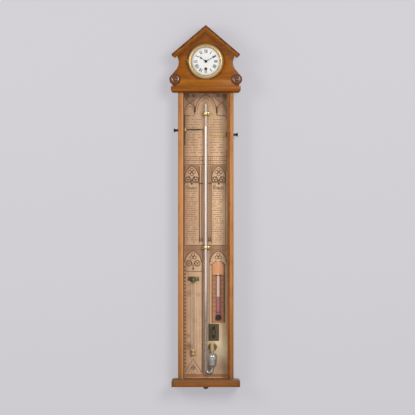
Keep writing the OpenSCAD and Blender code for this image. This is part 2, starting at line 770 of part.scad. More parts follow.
// Section of the bezel: x is radius, y is height above the flange.
module bezel_profile() {
    difference() {
        union() {
            translate([50.6, bezel_back]) square([bezel_r - 50.6, 3]);
            intersection() {
                translate([48.4, bezel_back]) square([bezel_r - 48.4, bezel_h]);
                translate([48.4, 2.4]) circle(r = bezel_r - 48.4);
            }
            polygon([[48.4, 3], [sight_r, 3], [sight_r, 3.6], [48.4, 9]]);
        }
        translate([40, -1]) square([10.6, 3.2]);
        translate([40, 9.2]) square([10.2, 5]);
    }
}
module bezel() {
    color("khaki") difference() {
        union() {
            turned_y(0, dial_z, dial_y) bezel_profile();
            translate([hinge_x, hinge_y, dial_z - 4.2]) cylinder(h = 8.4, r = 1.6);
            block([hinge_x, hinge_y - 1.6, dial_z - 4.2], [-bezel_r + 1.6, hinge_y - 0.4, dial_z + 4.2]);
        }
        translate([hinge_x, hinge_y, dial_z - 5]) cylinder(h = 10, r = hinge_pin_r + run_gap);
    }
}
// Thick bevelled glass in the bezel's rebate.
module bezel_glass() {
    color([0.85, 0.92, 0.95, 0.3]) turned_y(0, dial_z, dial_y) polygon([
        [0, 9.3], [49.9, 9.3], [49.9, 10.2], [46, 11.2], [0, 11.2]]);
}
hour_angle = 305;
minute_angle = 60;
// Spade hand pointing up: boss, stalk, spade and fine tip.
module spade_hand(boss_r, bore_r, spade_at, tip_at) {
    difference() {
        union() {
            circle(r = boss_r);
            polygon([[-0.9, 0], [0.9, 0], [0.5, spade_at], [-0.5, spade_at]]);
            translate([-1.25, spade_at - 0.6]) circle(r = 1.5);
            translate([1.25, spade_at - 0.6]) circle(r = 1.5);
            polygon([[-2.6, spade_at], [2.6, spade_at], [0.5, spade_at + 4.2],
                [0.25, tip_at], [-0.25, tip_at], [-0.5, spade_at + 4.2]]);
        }
        circle(r = bore_r);
    }
}
cannon_r = 1.9;
hour_tube_r = 2.6;
hour_hand_y = dial_y - dial_t - 1.6;
minute_hand_y = hour_hand_y - 2;
hand_t = 0.6;
module hour_hand() {
    color("midnightblue") translate([0, 0, dial_z]) plate_at(hour_hand_y, hand_t)
        rotate(-hour_angle) spade_hand(4.6, hour_tube_r, 19, 26.5);
}
module minute_hand() {
    collet_h = 1.6;
    color("midnightblue") translate([0, 0, dial_z]) difference() {
        union() {
            plate_at(minute_hand_y, hand_t)
                rotate(-minute_angle) spade_hand(3.4, cannon_r, 28, 36.5);
            rod_y(0, 0, minute_hand_y - hand_t, collet_h, 3);
        }
        rod_y(0, 0, minute_hand_y, hand_t + collet_h - 0.6, centre_arbor_r + run_gap);
    }
}

// ---------------------------------------------------------------- movement

plate_y = [-70, -68.4];         // front plate, front and back faces
rear_y = [-46, -44.4];          // rear plate
pivot_r = 0.8;
motion_distance = 12;           // from the centre to the minute wheel's post
motion_angle = 140;
minute_post = polar(motion_distance, motion_angle);
great_teeth = 72;
centre_leaves = 12;
great_module = 2 * winding_drop / (great_teeth + centre_leaves);
centre_teeth = 60;
third_leaves = 10;
train_module = 0.4;
third_pos = polar(train_module * (centre_teeth + third_leaves) / 2, 45);
third_teeth = 60;
escape_leaves = 10;
escape_module = 0.36;
escape_dir = 100;
escape_pos = third_pos + polar(escape_module * (third_teeth + escape_leaves) / 2, escape_dir);
escape_y = -52;                 // back face of the escape wheel and of the lever
lever_turn = -9;                // the lever's line, from the balance to the escape wheel
lever_pos = escape_pos - polar(9.6, lever_turn);
balance_pos = lever_pos - polar(8.8, lever_turn);
pillar_r = 41;
module movement_plates() {
    color("gold") difference() {
        union() {
            for (y = [plate_y[1], rear_y[1]]) rod_y(0, dial_z, y, 1.6, drum_r - 1.2);
            for (a = [20, 160, 225, 315]) rod_y(pillar_r * cos(a), dial_z + pillar_r * sin(a),
                rear_y[0] + eps, rear_y[0] - plate_y[1] + 2 * eps, 2.5);
            rod_y(minute_post[0], dial_z + minute_post[1], plate_y[0] + eps, 4.6, pivot_r);
            rod_y(click_pos[0], dial_z + click_pos[1], plate_y[0] + eps, 1.8, pivot_r);
        }
        for (p = [third_pos, escape_pos, lever_pos, balance_pos]) for (y = [plate_y[1], rear_y[1]])
            rod_y(p[0], dial_z + p[1], y + 1, 3.6, pivot_r + run_gap);
        rod_y(0, dial_z, rear_y[1] + 1, 3.6, pivot_r + run_gap);
        rod_y(0, dial_z, plate_y[1] + 1, 3.6, centre_arbor_r + run_gap);
        rod_y(0, dial_z - winding_drop, plate_y[1] + 1, 3.6, barrel_arbor_r + run_gap);
        rod_y(0, dial_z - winding_drop, rear_y[1] + 1, 3.6, barrel_arbor_r + run_gap);
    }
}
barrel_arbor_r = 3;
barrel_r = 18;
great_y = -66;                  // back face of the great wheel
barrel_depth = 13;
module at_winding() { translate([0, 0, dial_z - winding_drop]) children(); }
module at_centre() { translate([0, 0, dial_z]) children(); }
module mainspring_barrel() {
    color("gold") at_winding() difference() {
        union() {
            plate_at(great_y, 1.5) wheel_2d(great_teeth, great_module,
                gap_start(-90, great_teeth));
            rod_y(0, 0, great_y + barrel_depth, barrel_depth + eps, barrel_r);
        }
        rod_y(0, 0, great_y + barrel_depth - 1, barrel_depth - 1.4, barrel_r - 1.2);
        rod_y(0, 0, 0, 100, barrel_arbor_r + run_gap);
    }
}
ratchet_teeth = 18;
ratchet_r = 7.4;
module ratchet_2d(teeth, tip_r, depth) {
    polygon([for (i = [0 : teeth - 1]) each [
        polar(tip_r, i * 360 / teeth), polar(tip_r - depth, i * 360 / teeth + 2)]]);
}
module winding_arbor() {
    color("lightsteelblue") at_winding() {
        rod_y(0, 0, rear_y[1], rear_y[1] - plate_y[0], barrel_arbor_r);
        plate_at(plate_y[0] - 0.3, 1.3) ratchet_2d(ratchet_teeth, ratchet_r, 1.1);
        rod_y(0, 0, plate_y[0] + eps, 2, barrel_arbor_r);
        plate_at(plate_y[0] - 1.5, 7.3) rotate(45) square(3.4, center = true);
    }
}
click_pos = [11.2, -winding_drop + 4];
module ratchet_click() {
    color("lightsteelblue") translate([click_pos[0], 0, dial_z + click_pos[1]])
        plate_at(plate_y[0] - 0.3, 1.3) difference() {
            union() {
                circle(r = 2);
                polygon([[-1.8, -0.6], [-3.5, -4], [-2.6, -4.9], [1.6, -0.8]]);
            }
            circle(r = pivot_r + run_gap);
        }
}
centre_arbor_r = 1;
centre_wheel_y = -50.6;
module lightened(outer_r, hole_r, count, pos_r) {
    difference() {
        children();
        for (i = [0 : count - 1]) translate(polar(pos_r, (i + 0.5) * 360 / count))
            circle(r = hole_r);
    }
}
module centre_wheel() {
    color("gold") at_centre() {
        rod_y(0, 0, rear_y[0] - 1, rear_y[0] - 1 - minute_hand_y + 1, centre_arbor_r);
        rod_y(0, 0, rear_y[1], 3, pivot_r);
        rod_y(0, 0, rear_y[0] - 0.4, 21, 1.8);
        plate_at(great_y + 0.4, 2) pinion_2d(centre_leaves, great_module, -90);
        plate_at(centre_wheel_y, 1.2) lightened(12, 2.6, 5, 6.6)
            wheel_2d(centre_teeth, train_module, 45);
    }
}
third_wheel_y = -58;
module third_wheel() {
    color("gold") translate([third_pos[0], 0, dial_z + third_pos[1]]) {
        rod_y(0, 0, rear_y[1], rear_y[1] - plate_y[0], pivot_r);
        rod_y(0, 0, rear_y[0] - 0.4, 20, 1.2);
        plate_at(centre_wheel_y + 0.6, 2.4) pinion_2d(third_leaves, train_module,
            gap_start(45, third_leaves));
        plate_at(third_wheel_y, 1.1) lightened(10.8, 2.4, 5, 6)
            wheel_2d(third_teeth, escape_module, escape_dir);
    }
}
escape_r = 5;
module escape_wheel() {
    color("gold") translate([escape_pos[0], 0, dial_z + escape_pos[1]]) {
        rod_y(0, 0, rear_y[1], rear_y[1] - plate_y[0], pivot_r);
        plate_at(third_wheel_y + 0.6, 2.3) pinion_2d(escape_leaves, escape_module,
            gap_start(escape_dir, escape_leaves));
        plate_at(escape_y, 0.7) ratchet_2d(15, escape_r, 1.5);
        rod_y(0, 0, escape_y + 1, 3, 1.2);
    }
}
balance_r = 7.6;
module balance_wheel() {
    color("gold") translate([balance_pos[0], 0, dial_z + balance_pos[1]]) {
        rod_y(0, 0, rear_y[1], rear_y[1] - plate_y[0], pivot_r);
        rod_y(0, 0, escape_y, 3, 2.2);
        plate_at(escape_y - 1, 1.2) union() {
            difference() {
                circle(r = balance_r);
                circle(r = balance_r - 1.4);
            }
            square([2 * balance_r - 1.4, 1.6], center = true);
        }
    }
}
module pallet_lever() {
    color("lightsteelblue") translate([lever_pos[0], 0, dial_z + lever_pos[1]]) {
        rod_y(0, 0, rear_y[1], rear_y[1] - plate_y[0], pivot_r);
        plate_at(escape_y, 0.7) rotate(lever_turn) union() {
            circle(r = 1.6);
            for (side = [0, 1]) mirror([0, side])
                polygon([[-0.6, 0.9], [4.4, 4.7], [5.3, 3.9], [1.2, 0.4]]);
            polygon([[0, -0.5], [0, 0.5], [-6, 0.4], [-6, -0.4]]);
        }
    }
}
module cannon_pinion() {
    color("lightsteelblue") at_centre() difference() {
        union() {
            plate_at(plate_y[0] - 0.3, 1.6) pinion_2d(12, 0.5, motion_angle);
            rod_y(0, 0, plate_y[0] - 0.3, plate_y[0] - 0.3 - minute_hand_y + hand_t, cannon_r);
        }
        rod_y(0, 0, plate_y[0] + 1, 20, centre_arbor_r + run_gap);
    }
}
module minute_wheel() {
    color("gold") translate([minute_post[0], 0, dial_z + minute_post[1]]) difference() {
        union() {
            plate_at(plate_y[0] - 0.4, 1) wheel_2d(36, 0.5, gap_start(motion_angle, 36));
            plate_at(plate_y[0] - 1.3, 2.6) pinion_2d(10, 0.48, motion_angle + 180);
        }
        rod_y(0, 0, plate_y[0] + 1, 8, pivot_r + run_gap);
    }
}
module hour_wheel() {
    color("gold") at_centre() difference() {
        union() {
            plate_at(plate_y[0] - 2.4, 1.2) wheel_2d(40, 0.48, gap_start(motion_angle + 180, 40));
            rod_y(0, 0, plate_y[0] - 2.4, plate_y[0] - 2.4 - hour_hand_y + hand_t, hour_tube_r);
        }
        rod_y(0, 0, plate_y[0], 20, cannon_r + run_gap);
    }
}

translate([0, 0, -hang_z]) {
    backboard();
    left_stile();
    right_stile();
    base_board();
    base_drop_button();
    cornice_board();
    frieze_rail();
    pediment_board();
    head_sides();
    left_roof_board();
    right_roof_board();
    raking_mouldings();
    left_roundel();
    right_roundel();
    front_glass();
    glazing_beads();
    hanging_plate();
    plate_screws();
    paper_chart();
    barometer_tube();
    mercury();
    tube_straps();
    tube_blocks();
    cistern_cap();
    cistern_strap();
    inner_screws();
    thermometer_board();
    thermometer_tube();
    thermometer_spirit();
    thermometer_clips();
    storm_glass_tube();
    storm_glass_liquid();
    storm_glass_strap();
    storm_glass_clip();
    label_plate();
    left_knob();
    right_knob();
    left_pinion_arbor();
    right_pinion_arbor();
    left_pointer_rack();
    right_pointer_rack();
    rack_guides();
    clock_drum();
    dial();
    bezel();
    bezel_glass();
    hour_hand();
    minute_hand();
    movement_plates();
    mainspring_barrel();
    winding_arbor();
    ratchet_click();
    centre_wheel();
    third_wheel();
    escape_wheel();
    pallet_lever();
    balance_wheel();
    cannon_pinion();
    minute_wheel();
    hour_wheel();
}
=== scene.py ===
"""Looks for a wall barometer with a timepiece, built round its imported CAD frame.

Metres, +Z up. The front looks to -Y, the wall is the plane y = 0, and the case hangs from the origin.
Flat printing is laid out in millimetres: x to the right, and up from the underside of the plinth.
"""

import json
import math
import random

import bmesh
import bpy
from mathutils import Matrix, Vector


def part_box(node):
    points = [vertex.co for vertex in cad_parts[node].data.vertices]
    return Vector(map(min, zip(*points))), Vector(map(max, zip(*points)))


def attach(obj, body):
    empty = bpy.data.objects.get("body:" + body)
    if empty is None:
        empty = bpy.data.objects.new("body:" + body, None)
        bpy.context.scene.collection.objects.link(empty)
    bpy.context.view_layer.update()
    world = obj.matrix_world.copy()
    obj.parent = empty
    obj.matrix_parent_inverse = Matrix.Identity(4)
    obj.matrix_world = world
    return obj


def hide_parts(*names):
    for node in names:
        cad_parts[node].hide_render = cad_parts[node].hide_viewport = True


MM = 0.001
MERGE = 1e-6                      # vertices closer than this are one
SMOOTH_UNDER = math.radians(32)   # faces meeting flatter than this are shaded as one curve
RANDOM = random.Random(11)        # every random draw comes from here

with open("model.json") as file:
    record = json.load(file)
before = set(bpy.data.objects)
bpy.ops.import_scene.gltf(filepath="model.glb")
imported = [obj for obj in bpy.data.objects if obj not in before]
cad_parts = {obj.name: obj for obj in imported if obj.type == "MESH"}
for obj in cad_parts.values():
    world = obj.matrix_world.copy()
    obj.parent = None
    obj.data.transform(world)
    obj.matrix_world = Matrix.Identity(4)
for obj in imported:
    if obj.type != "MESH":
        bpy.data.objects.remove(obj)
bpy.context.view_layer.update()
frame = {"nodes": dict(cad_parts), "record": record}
SLOT_OF = {part["node"]: part["material_slot"] for part in frame["record"]["subparts"]}
BODY_OF = {
    node: body for body, nodes in frame["record"]["behaviour"]["bodies"].items() for node in nodes
}
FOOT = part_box("base_board")[0].z              # the underside of the plinth
PAPER_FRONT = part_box("paper_chart")[0].y
ROOF_PITCH = math.radians(40.4)
TURNS = {  # which way the grain runs, and the turn that brings it upright
    "X": (0, -math.pi / 2, 0),
    "Z": (0, 0, 0),
    "rake": (0, -math.pi / 2 - ROOF_PITCH, 0),
}

INK_DEPTH = 0.12 * MM
CHART_DEPTHS = (0.2 * MM, 0.16 * MM, 0.12 * MM, 0.24 * MM)   # dark, faint, band and light print
DIAL_INK_DEPTH = 0.1 * MM


def srgb(red, green, blue):
    """A colour given in 0 to 255 display values, as the linear RGBA that nodes take."""
    linear = [
        c / 12.92 if c <= 0.04045 else ((c + 0.055) / 1.055) ** 2.4
        for c in (red / 255, green / 255, blue / 255)
    ]
    return (*linear, 1.0)


# ---------------------------------------------------------------- materials


class Shader:
    """A Principled material being wired up. Patterns read the row frame's coordinates, in metres."""

    def __init__(self, name, **values):
        self.material = bpy.data.materials.new(name)
        self.material.use_nodes = True
        self.tree = self.material.node_tree
        self.base = self.tree.nodes["Principled BSDF"]
        self.place = self.add("ShaderNodeTexCoord").outputs["Object"]
        for socket, value in values.items():
            self.set(socket, value)

    def add(self, kind, wires=(), **settings):
        """A new node with its settings, and wires = pairs of input and what feeds it."""
        node = self.tree.nodes.new(kind)
        for name, value in settings.items():
            setattr(node, name, value)
        for socket, value in wires:
            self.feed(node.inputs[socket], value)
        return node

    def feed(self, socket, value):
        if isinstance(value, bpy.types.NodeSocket):
            self.tree.links.new(value, socket)
        else:
            socket.default_value = value

    def set(self, socket, value):
        self.feed(self.base.inputs[socket.replace("_", " ")], value)

    def turned(self, grain):
        """Coordinates whose Z runs along the grain, a key of TURNS; "rake" climbs each roof slope."""
        place = self.place
        if grain == "rake":
            place = self.add("ShaderNodeVectorMath", [(0, place)], operation="ABSOLUTE").outputs[0]
        return self.add("ShaderNodeMapping", [("Vector", place), ("Rotation", TURNS[grain])]).outputs[0]

    def noise(self, cell, detail=3, rough=0.5, twist=0.0, place=None, offset=(0, 0, 0)):
        """Noise in cells of the given size in millimetres."""
        scale = tuple(1 / (c * MM) for c in cell)
        wires = [("Vector", place or self.place), ("Scale", scale), ("Location", offset)]
        cells = self.add("ShaderNodeMapping", wires).outputs[0]
        wires = [("Vector", cells), ("Scale", 1.0), ("Detail", detail), ("Roughness", rough)]
        return self.add("ShaderNodeTexNoise", [*wires, ("Distortion", twist)]).outputs[0]

    def level(self, value, low, high, start=0.0, end=1.0):
        """value's range low..high spread over start..end, and held there."""
        wires = [("Value", value), ("From Min", low), ("From Max", high), ("To Min", start), ("To Max", end)]
        return self.add("ShaderNodeMapRange", wires).outputs[0]

    def maths(self, operation, first, second=0.0):
        return self.add("ShaderNodeMath", [(0, first), (1, second)], operation=operation).outputs[0]

    def plus(self, first, second):
        return self.maths("ADD", first, second)

    def less(self, first, second):
        return self.maths("SUBTRACT", first, second)

    def times(self, first, second):
        return self.maths("MULTIPLY", first, second)

    def mix(self, factor, first, second):
        node = self.add("ShaderNodeMix", data_type="RGBA")
        self.feed(node.inputs[0], factor)
        self.feed(node.inputs[6], first)
        self.feed(node.inputs[7], second)
        return node.outputs[2]

    def axis(self, name):
        """One coordinate in metres."""
        return self.add("ShaderNodeSeparateXYZ", [(0, self.place)]).outputs[name]

    def across(self):
        """How far a place is from the middle of the case, to either side, in metres."""
        return self.maths("ABSOLUTE", self.axis("X"))

    def facing(self):
        """0 where a surface is seen straight on, 1 at its rim, from either side."""
        return self.add("ShaderNodeLayerWeight", [("Blend", 0.5)]).outputs["Facing"]

    def rim(self, straight):
        """How much a pane mirrors: straight on, and rising to 1 at its rim."""
        return self.level(self.maths("POWER", self.facing(), 5.0), 0.0, 1.0, straight, 1.0)

    def distance(self, point):
        """How far a place is from a point, in metres."""
        wires = [(0, self.place), (1, tuple(point))]
        return self.add("ShaderNodeVectorMath", wires, operation="DISTANCE").outputs["Value"]

    def edges(self):
        """1 on the rounded edges that softened() makes, 0 elsewhere."""
        return self.add("ShaderNodeAttribute", attribute_name="edge").outputs["Fac"]

    def bump(self, height, depth, strength):
        """Relief of the given depth in millimetres."""
        wires = [("Height", height), ("Distance", depth * MM), ("Strength", strength)]
        self.set("Normal", self.add("ShaderNodeBump", wires).outputs[0])


# the dark brown of painted shade on the case's wood, and of the stiles' darker outer edges
DEEP_BROWN = srgb(70, 38, 16)
OAK_DEPTH = srgb(60, 34, 16)      # what the dark of every oak tends to
OAK_ROUGHNESS = (0.42, 0.62)


def oak(name, grain, pale, dark, wear, shift=0.0, polish=0.0, stain_and_shade=None):
    """Old polished oak: growth bands, open pores, ray flecks, grime and rubbed edges.

    stain_and_shade(shader, colour) tones the wood by its place in the case: stains, and painted light and
    shade.
    """
    s = Shader(name, Coat_Weight=polish, Coat_Roughness=0.2, Coat_IOR=1.7, Specular_IOR_Level=0.1)
    wood = s.turned(grain)
    spot = (shift, 0, shift)
    tone = s.noise((60, 60, 420), detail=2, place=wood, offset=spot)
    bands = s.noise((7, 7, 190), detail=4, rough=0.6, twist=0.7, place=wood, offset=spot)
    fibre = s.noise((0.8, 0.8, 26), detail=4, rough=0.65, place=wood)
    pores = s.level(s.noise((0.55, 0.55, 7), detail=2, place=wood), 0.60, 0.70)
    rays = s.level(s.noise((5, 2.2, 9), detail=3, twist=1.2, place=wood), 0.62, 0.74)
    streaks = s.level(s.noise((2.4, 2.4, 110), detail=3, twist=0.4, place=wood, offset=spot), 0.52, 0.72)
    deep = s.mix(0.5, dark, OAK_DEPTH)
    colour = s.mix(s.level(bands, 0.30, 0.72), pale, dark)
    colour = s.mix(s.level(tone, 0.3, 0.7, 0.0, 0.45), colour, dark)
    colour = s.mix(s.level(fibre, 0.2, 0.8, 0.0, 0.35), colour, deep)
    colour = s.mix(s.times(streaks, 0.3), colour, deep)
    colour = s.mix(s.times(rays, 0.22), colour, s.mix(0.55, pale, srgb(235, 190, 130)))
    colour = s.mix(s.times(pores, 0.5), colour, srgb(58, 33, 15))
    grime_and_painted_shade = s.level(s.noise((38, 38, 70), detail=5, rough=0.62, offset=spot), 0.52, 0.80, 0.0, 0.4)
    colour = s.mix(grime_and_painted_shade, colour, srgb(78, 44, 20))
    if stain_and_shade:
        colour = stain_and_shade(s, colour)
    rubbed = s.times(s.edges(), s.level(s.noise((16, 16, 16), detail=3), 0.40, 0.62, 0.0, wear))
    s.set("Base_Color", s.mix(rubbed, colour, srgb(226, 176, 120)))
    s.set("Roughness", s.level(s.plus(fibre, grime_and_painted_shade), 0.2, 1.1, *OAK_ROUGHNESS))
    s.bump(s.less(s.times(fibre, 0.35), s.times(pores, 0.6)), 0.16, 0.7)
    return s.material


def stile_painted_shading(s, colour):
    """The stiles: painted shade darkens them towards both ends, and they are darker along their outer edges.
    Beside the glass, painted light makes the left bevel pale and painted shade makes the right one dark.
    """
    across, height = s.across(), s.axis("Z")
    low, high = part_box("right_stile")
    # painted shade: less light at the foot, and the cornice's shadow at the head
    foot = s.level(height, low.z, low.z + 330 * MM, 0.6, 0.0)
    head = s.level(height, high.z - 260 * MM, high.z, 0.0, 0.35)
    colour = s.mix(s.maths("MAXIMUM", foot, head), colour, srgb(122, 70, 24))
    colour = s.mix(s.level(across, high.x - 4 * MM, high.x, 0.0, 0.4), colour, DEEP_BROWN)
    # the inner bevels: painted light on the left one, painted shade on the right one
    bevel = s.level(across, low.x + 3.2 * MM, low.x + 4.4 * MM, 1.0, 0.0)
    dust_and_painted_light, grime_and_painted_shade = s.level(s.axis("X"), -MM, MM, 0.5, 0.0), s.level(s.axis("X"), -MM, MM, 0.0, 0.75)
    colour = s.mix(s.times(bevel, dust_and_painted_light), colour, srgb(222, 188, 156))
    return s.mix(s.times(bevel, grime_and_painted_shade), colour, DEEP_BROWN)


def gable_painted_shade(s, colour):
    """The pediment: painted shade under the roof, down the hollow flanks, and a painted shadow round the
    bezel.
    """
    across, height = s.across(), s.axis("Z")
    ridge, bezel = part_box("left_roof_board")[1].z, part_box("bezel")
    drop = s.times(s.less(ridge, height), math.cos(ROOF_PITCH))
    under = s.less(drop, s.times(across, math.sin(ROOF_PITCH)))
    # painted shade cast by the roof's overhang
    colour = s.mix(s.level(under, 16 * MM, 38 * MM, 0.75, 0.0), colour, DEEP_BROWN)
    colour = s.mix(s.level(across, 76 * MM, 96 * MM, 0.0, 0.35), colour, DEEP_BROWN)
    centre = ((bezel[0].x + bezel[1].x) / 2, bezel[1].y, (bezel[0].z + bezel[1].z) / 2)
    # painted shadow of the bezel, a dark ring round it
    return s.mix(s.level(s.distance(centre), 57 * MM, 66 * MM, 0.6, 0.0), colour, DEEP_BROWN)


def plinth_dust_and_painted_shade(s, colour):
    """The plinth: grey on top with dust and painted shade, and painted shade darkening its ends and along
    its foot.
    """
    across, height = s.across(), s.axis("Z")
    low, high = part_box("base_board")
    colour = s.mix(s.level(across, high.x - 14 * MM, high.x, 0.0, 0.55), colour, DEEP_BROWN)
    colour = s.mix(s.level(height, low.z, low.z + 3 * MM, 0.7, 0.0), colour, DEEP_BROWN)
    return s.mix(s.level(height, high.z - 9 * MM, high.z - 5 * MM, 0.0, 0.8), colour, srgb(116, 92, 76))


def cornice_painted_shade(s, colour):
    """The cornice: painted shade along its foot and under the frieze."""
    height = s.axis("Z")
    low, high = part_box("cornice_board")
    colour = s.mix(s.level(height, low.z, low.z + 5 * MM, 0.7, 0.0), colour, DEEP_BROWN)
    return s.mix(s.level(height, high.z - 2.5 * MM, high.z, 0.0, 0.6), colour, DEEP_BROWN)


def scale_darkening(s, colour):
    """The thermometer's board: darker brown below its upper clip and along its edges."""
    low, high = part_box("thermometer_board")
    middle = (low.x + high.x) / 2
    across = s.maths("ABSOLUTE", s.less(s.axis("X"), middle))
    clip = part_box("thermometer_clips")[1].z
    colour = s.mix(s.level(s.axis("Z"), clip - 4 * MM, clip + 3 * MM, 0.5, 0.0), colour, srgb(132, 84, 52))
    half = (high.x - low.x) / 2
    return s.mix(s.level(across, half - 4 * MM, half, 0.0, 0.6), colour, srgb(112, 66, 40))


HINGE_STARTS = (-58.4 * MM, -57.8 * MM)   # where the bezel's ring gives way to its hinge barrel


def hinge_painted_shade(s, colour):
    """The bezel's hinge barrel, outside its ring at the left, is dark: painted shade, at one with the shadow
    round the bezel.
    """
    return s.mix(s.level(s.axis("X"), *HINGE_STARTS, 0.85, 0.0), colour, srgb(70, 48, 24))


FINE = (0.5, 0.5, 0.5)            # the size of a worked metal's marks, in millimetres


def metal(name, colour, tarnish, spread, roughness=(0.22, 0.45), marked=FINE, metallic=1.0, stain_and_shade=None):
    """A worked metal: tarnish in cloudy patches, fine marks, and edges rubbed bright."""
    s = Shader(name, Metallic=metallic)
    cloud = s.noise((11, 11, 11), detail=6, rough=0.65)
    marks = s.noise(marked, detail=3)
    patch = s.level(cloud, *spread)
    surface = s.mix(patch, colour, tarnish)
    surface = s.mix(s.level(marks, 0.3, 0.7, 0.0, 0.18), surface, s.mix(0.5, tarnish, srgb(40, 32, 22)))
    if stain_and_shade:
        surface = stain_and_shade(s, surface)
    rubbed = s.times(s.edges(), 0.65)
    s.set("Base_Color", s.mix(rubbed, surface, s.mix(0.5, colour, srgb(250, 235, 200))))
    s.set("Roughness", s.level(s.plus(patch, marks), 0.3, 1.5, *roughness))
    s.bump(s.plus(marks, s.times(cloud, 0.5)), 0.05, 0.5)
    return s.material


def clear(name, haze, smear, roughness=0.03, edge=None, edge_shows=0.0, milky=None, glow=0.0):
    """Old glass: its gloss grows towards the rim, and dust and wipe marks show on it.

    edge and edge_shows paint the tube's outline in its own colour, painted shade where it is dark and
    painted light where it is pale, and glow makes that outline shine with painted light; milky(shader) says
    where it is clouded.
    """
    s = Shader(name)
    tint = srgb(246, 250, 248)
    wiped = s.noise((9, 9, 60), detail=5, rough=0.6, twist=0.8)
    dust_and_painted_light = s.level(wiped, 0.45, 0.85, 0.0, smear)
    s.set("Roughness", s.level(wiped, 0.3, 0.8, roughness, roughness + 0.12))
    outline = s.level(s.facing(), 0.25, 0.8)
    cloud = milky(s) if milky else 0.0
    s.set("Base_Color", s.mix(cloud, s.mix(outline, tint, edge or tint), srgb(206, 200, 192)))
    s.set("Metallic", s.less(s.level(outline, 0.0, 1.0, 1.0, 0.15 if edge else 1.0), cloud))
    see = s.plus(s.plus(s.rim(0.03 + haze), dust_and_painted_light), s.times(outline, edge_shows))
    see = s.plus(see, cloud)
    s.set("Alpha", s.add("ShaderNodeClamp", [(0, see)]).outputs[0])
    # emission along the outline: painted light, where glow is given
    s.set("Emission_Color", edge or tint)
    s.set("Emission_Strength", s.times(outline, glow))
    s.bump(s.noise((60, 60, 90), detail=2), 0.4, 0.05)
    return s.material


def bottle_cloud(s):
    """The cistern bottle and the bend below it are clouded, in drifts."""
    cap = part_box("cistern_cap")[0]
    lower = s.level(s.axis("Z"), cap.z, cap.z + 4 * MM, 1.0, 0.0)
    right = s.level(s.axis("X"), cap.x - 12 * MM, cap.x - 9 * MM)
    drift = s.level(s.noise((6, 6, 20), detail=4), 0.3, 0.7, 0.16, 0.4)
    return s.times(s.times(lower, right), drift)


RUST, FADED = srgb(140, 88, 52), srgb(248, 216, 172)
STAINS_AND_PAINTED_LIGHT = (  # x and height in millimetres, reach, strength and tone; stains and fading, and one painted pool of light
    (-57, 163, 10, 0.7, RUST),
    (-54, 130, 16, 0.75, RUST),
    (-56, 300, 14, 0.4, RUST),
    (-26, 298, 12, 0.35, RUST),
    (50, 930, 50, 0.35, RUST),
    # a painted pool of light that lifts the right stile's shade at the foot of the chart
    (50, 125, 60, 1.0, srgb(255, 236, 196)),
    (44, 190, 30, 0.6, FADED),
    (22, 600, 60, 0.25, FADED),
    (46, 560, 70, 0.5, FADED),
)


def paper():
    """The printed chart's paper: toasted, foxed and rubbed; darker at its sides with age and with painted
    shade from the stiles, with painted shade of the cornice at its top and behind the tube, and a painted
    pool of light low on the right.
    """
    s = Shader("chart_paper", Specular_IOR_Level=0.25)
    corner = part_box("paper_chart")[1]
    across, z = s.across(), s.axis("Z")
    fibres = s.noise((0.9, 0.9, 0.5), detail=4, rough=0.7)
    cloud = s.noise((46, 46, 60), detail=5, rough=0.6, twist=0.4)
    foxing = s.level(s.noise((7, 7, 7), detail=5, rough=0.7), 0.60, 0.76, 0.0, 0.5)
    stain_and_shade = s.level(s.noise((24, 24, 90), detail=4, twist=0.8), 0.54, 0.78, 0.0, 0.45)
    colour = s.mix(s.level(cloud, 0.3, 0.7), srgb(244, 208, 168), srgb(226, 187, 148))
    colour = s.mix(stain_and_shade, colour, srgb(196, 152, 112))
    colour = s.mix(foxing, colour, srgb(176, 126, 84))
    colour = s.mix(s.level(fibres, 0.2, 0.8, 0.0, 0.14), colour, srgb(140, 104, 76))
    # darker towards both sides: toning with age, and painted shade cast by the stiles
    side = s.level(s.less(corner.x, across), 0.0, 22 * MM, 0.55, 0.0)
    colour = s.mix(side, colour, srgb(140, 102, 70))
    # painted shade: the cornice's shadow over the top of the chart
    top = s.level(z, corner.z - 170 * MM, corner.z, 0.0, 0.34)
    colour = s.mix(top, colour, srgb(132, 98, 68))
    streaks = s.level(s.noise((3.5, 3.5, 260), detail=3), 0.45, 0.7, 0.0, 0.4)
    lower = s.level(z, FOOT + 330 * MM, FOOT + 370 * MM, 1.0, 0.3)
    colour = s.mix(s.times(streaks, lower), colour, srgb(168, 124, 90))
    # painted shade behind the barometer tube
    shade_behind_tube = s.level(across, 9 * MM, 12 * MM, 0.3, 0.0)
    colour = s.mix(shade_behind_tube, colour, srgb(120, 88, 60))
    for place_x, up, reach, strength, tone in STAINS_AND_PAINTED_LIGHT:
        place = Vector((place_x * MM, PAPER_FRONT, FOOT + up * MM))
        away = s.less(s.distance(place), s.times(cloud, reach * MM))
        colour = s.mix(s.level(away, -0.4 * reach * MM, 0.5 * reach * MM, strength, 0.0), colour, tone)
    s.set("Base_Color", colour)
    s.set("Roughness", s.level(fibres, 0.2, 0.8, 0.72, 0.9))
    s.bump(s.plus(fibres, s.times(cloud, 4.0)), 0.05, 0.5)
    return s.material


def ink(name, colour, bare=0.25, ground=srgb(190, 154, 120)):
    """Printer's ink that has let what is under it show through in places."""
    s = Shader(name, Specular_IOR_Level=0.2)
    worn = s.level(s.noise((3.2, 3.2, 3.2), detail=5, rough=0.7), 0.45, 0.75, 0.0, bare)
    s.set("Base_Color", s.mix(worn, colour, ground))
    s.set("Roughness", s.level(worn, 0.0, 1.0, 0.62, 0.85))
    return s.material


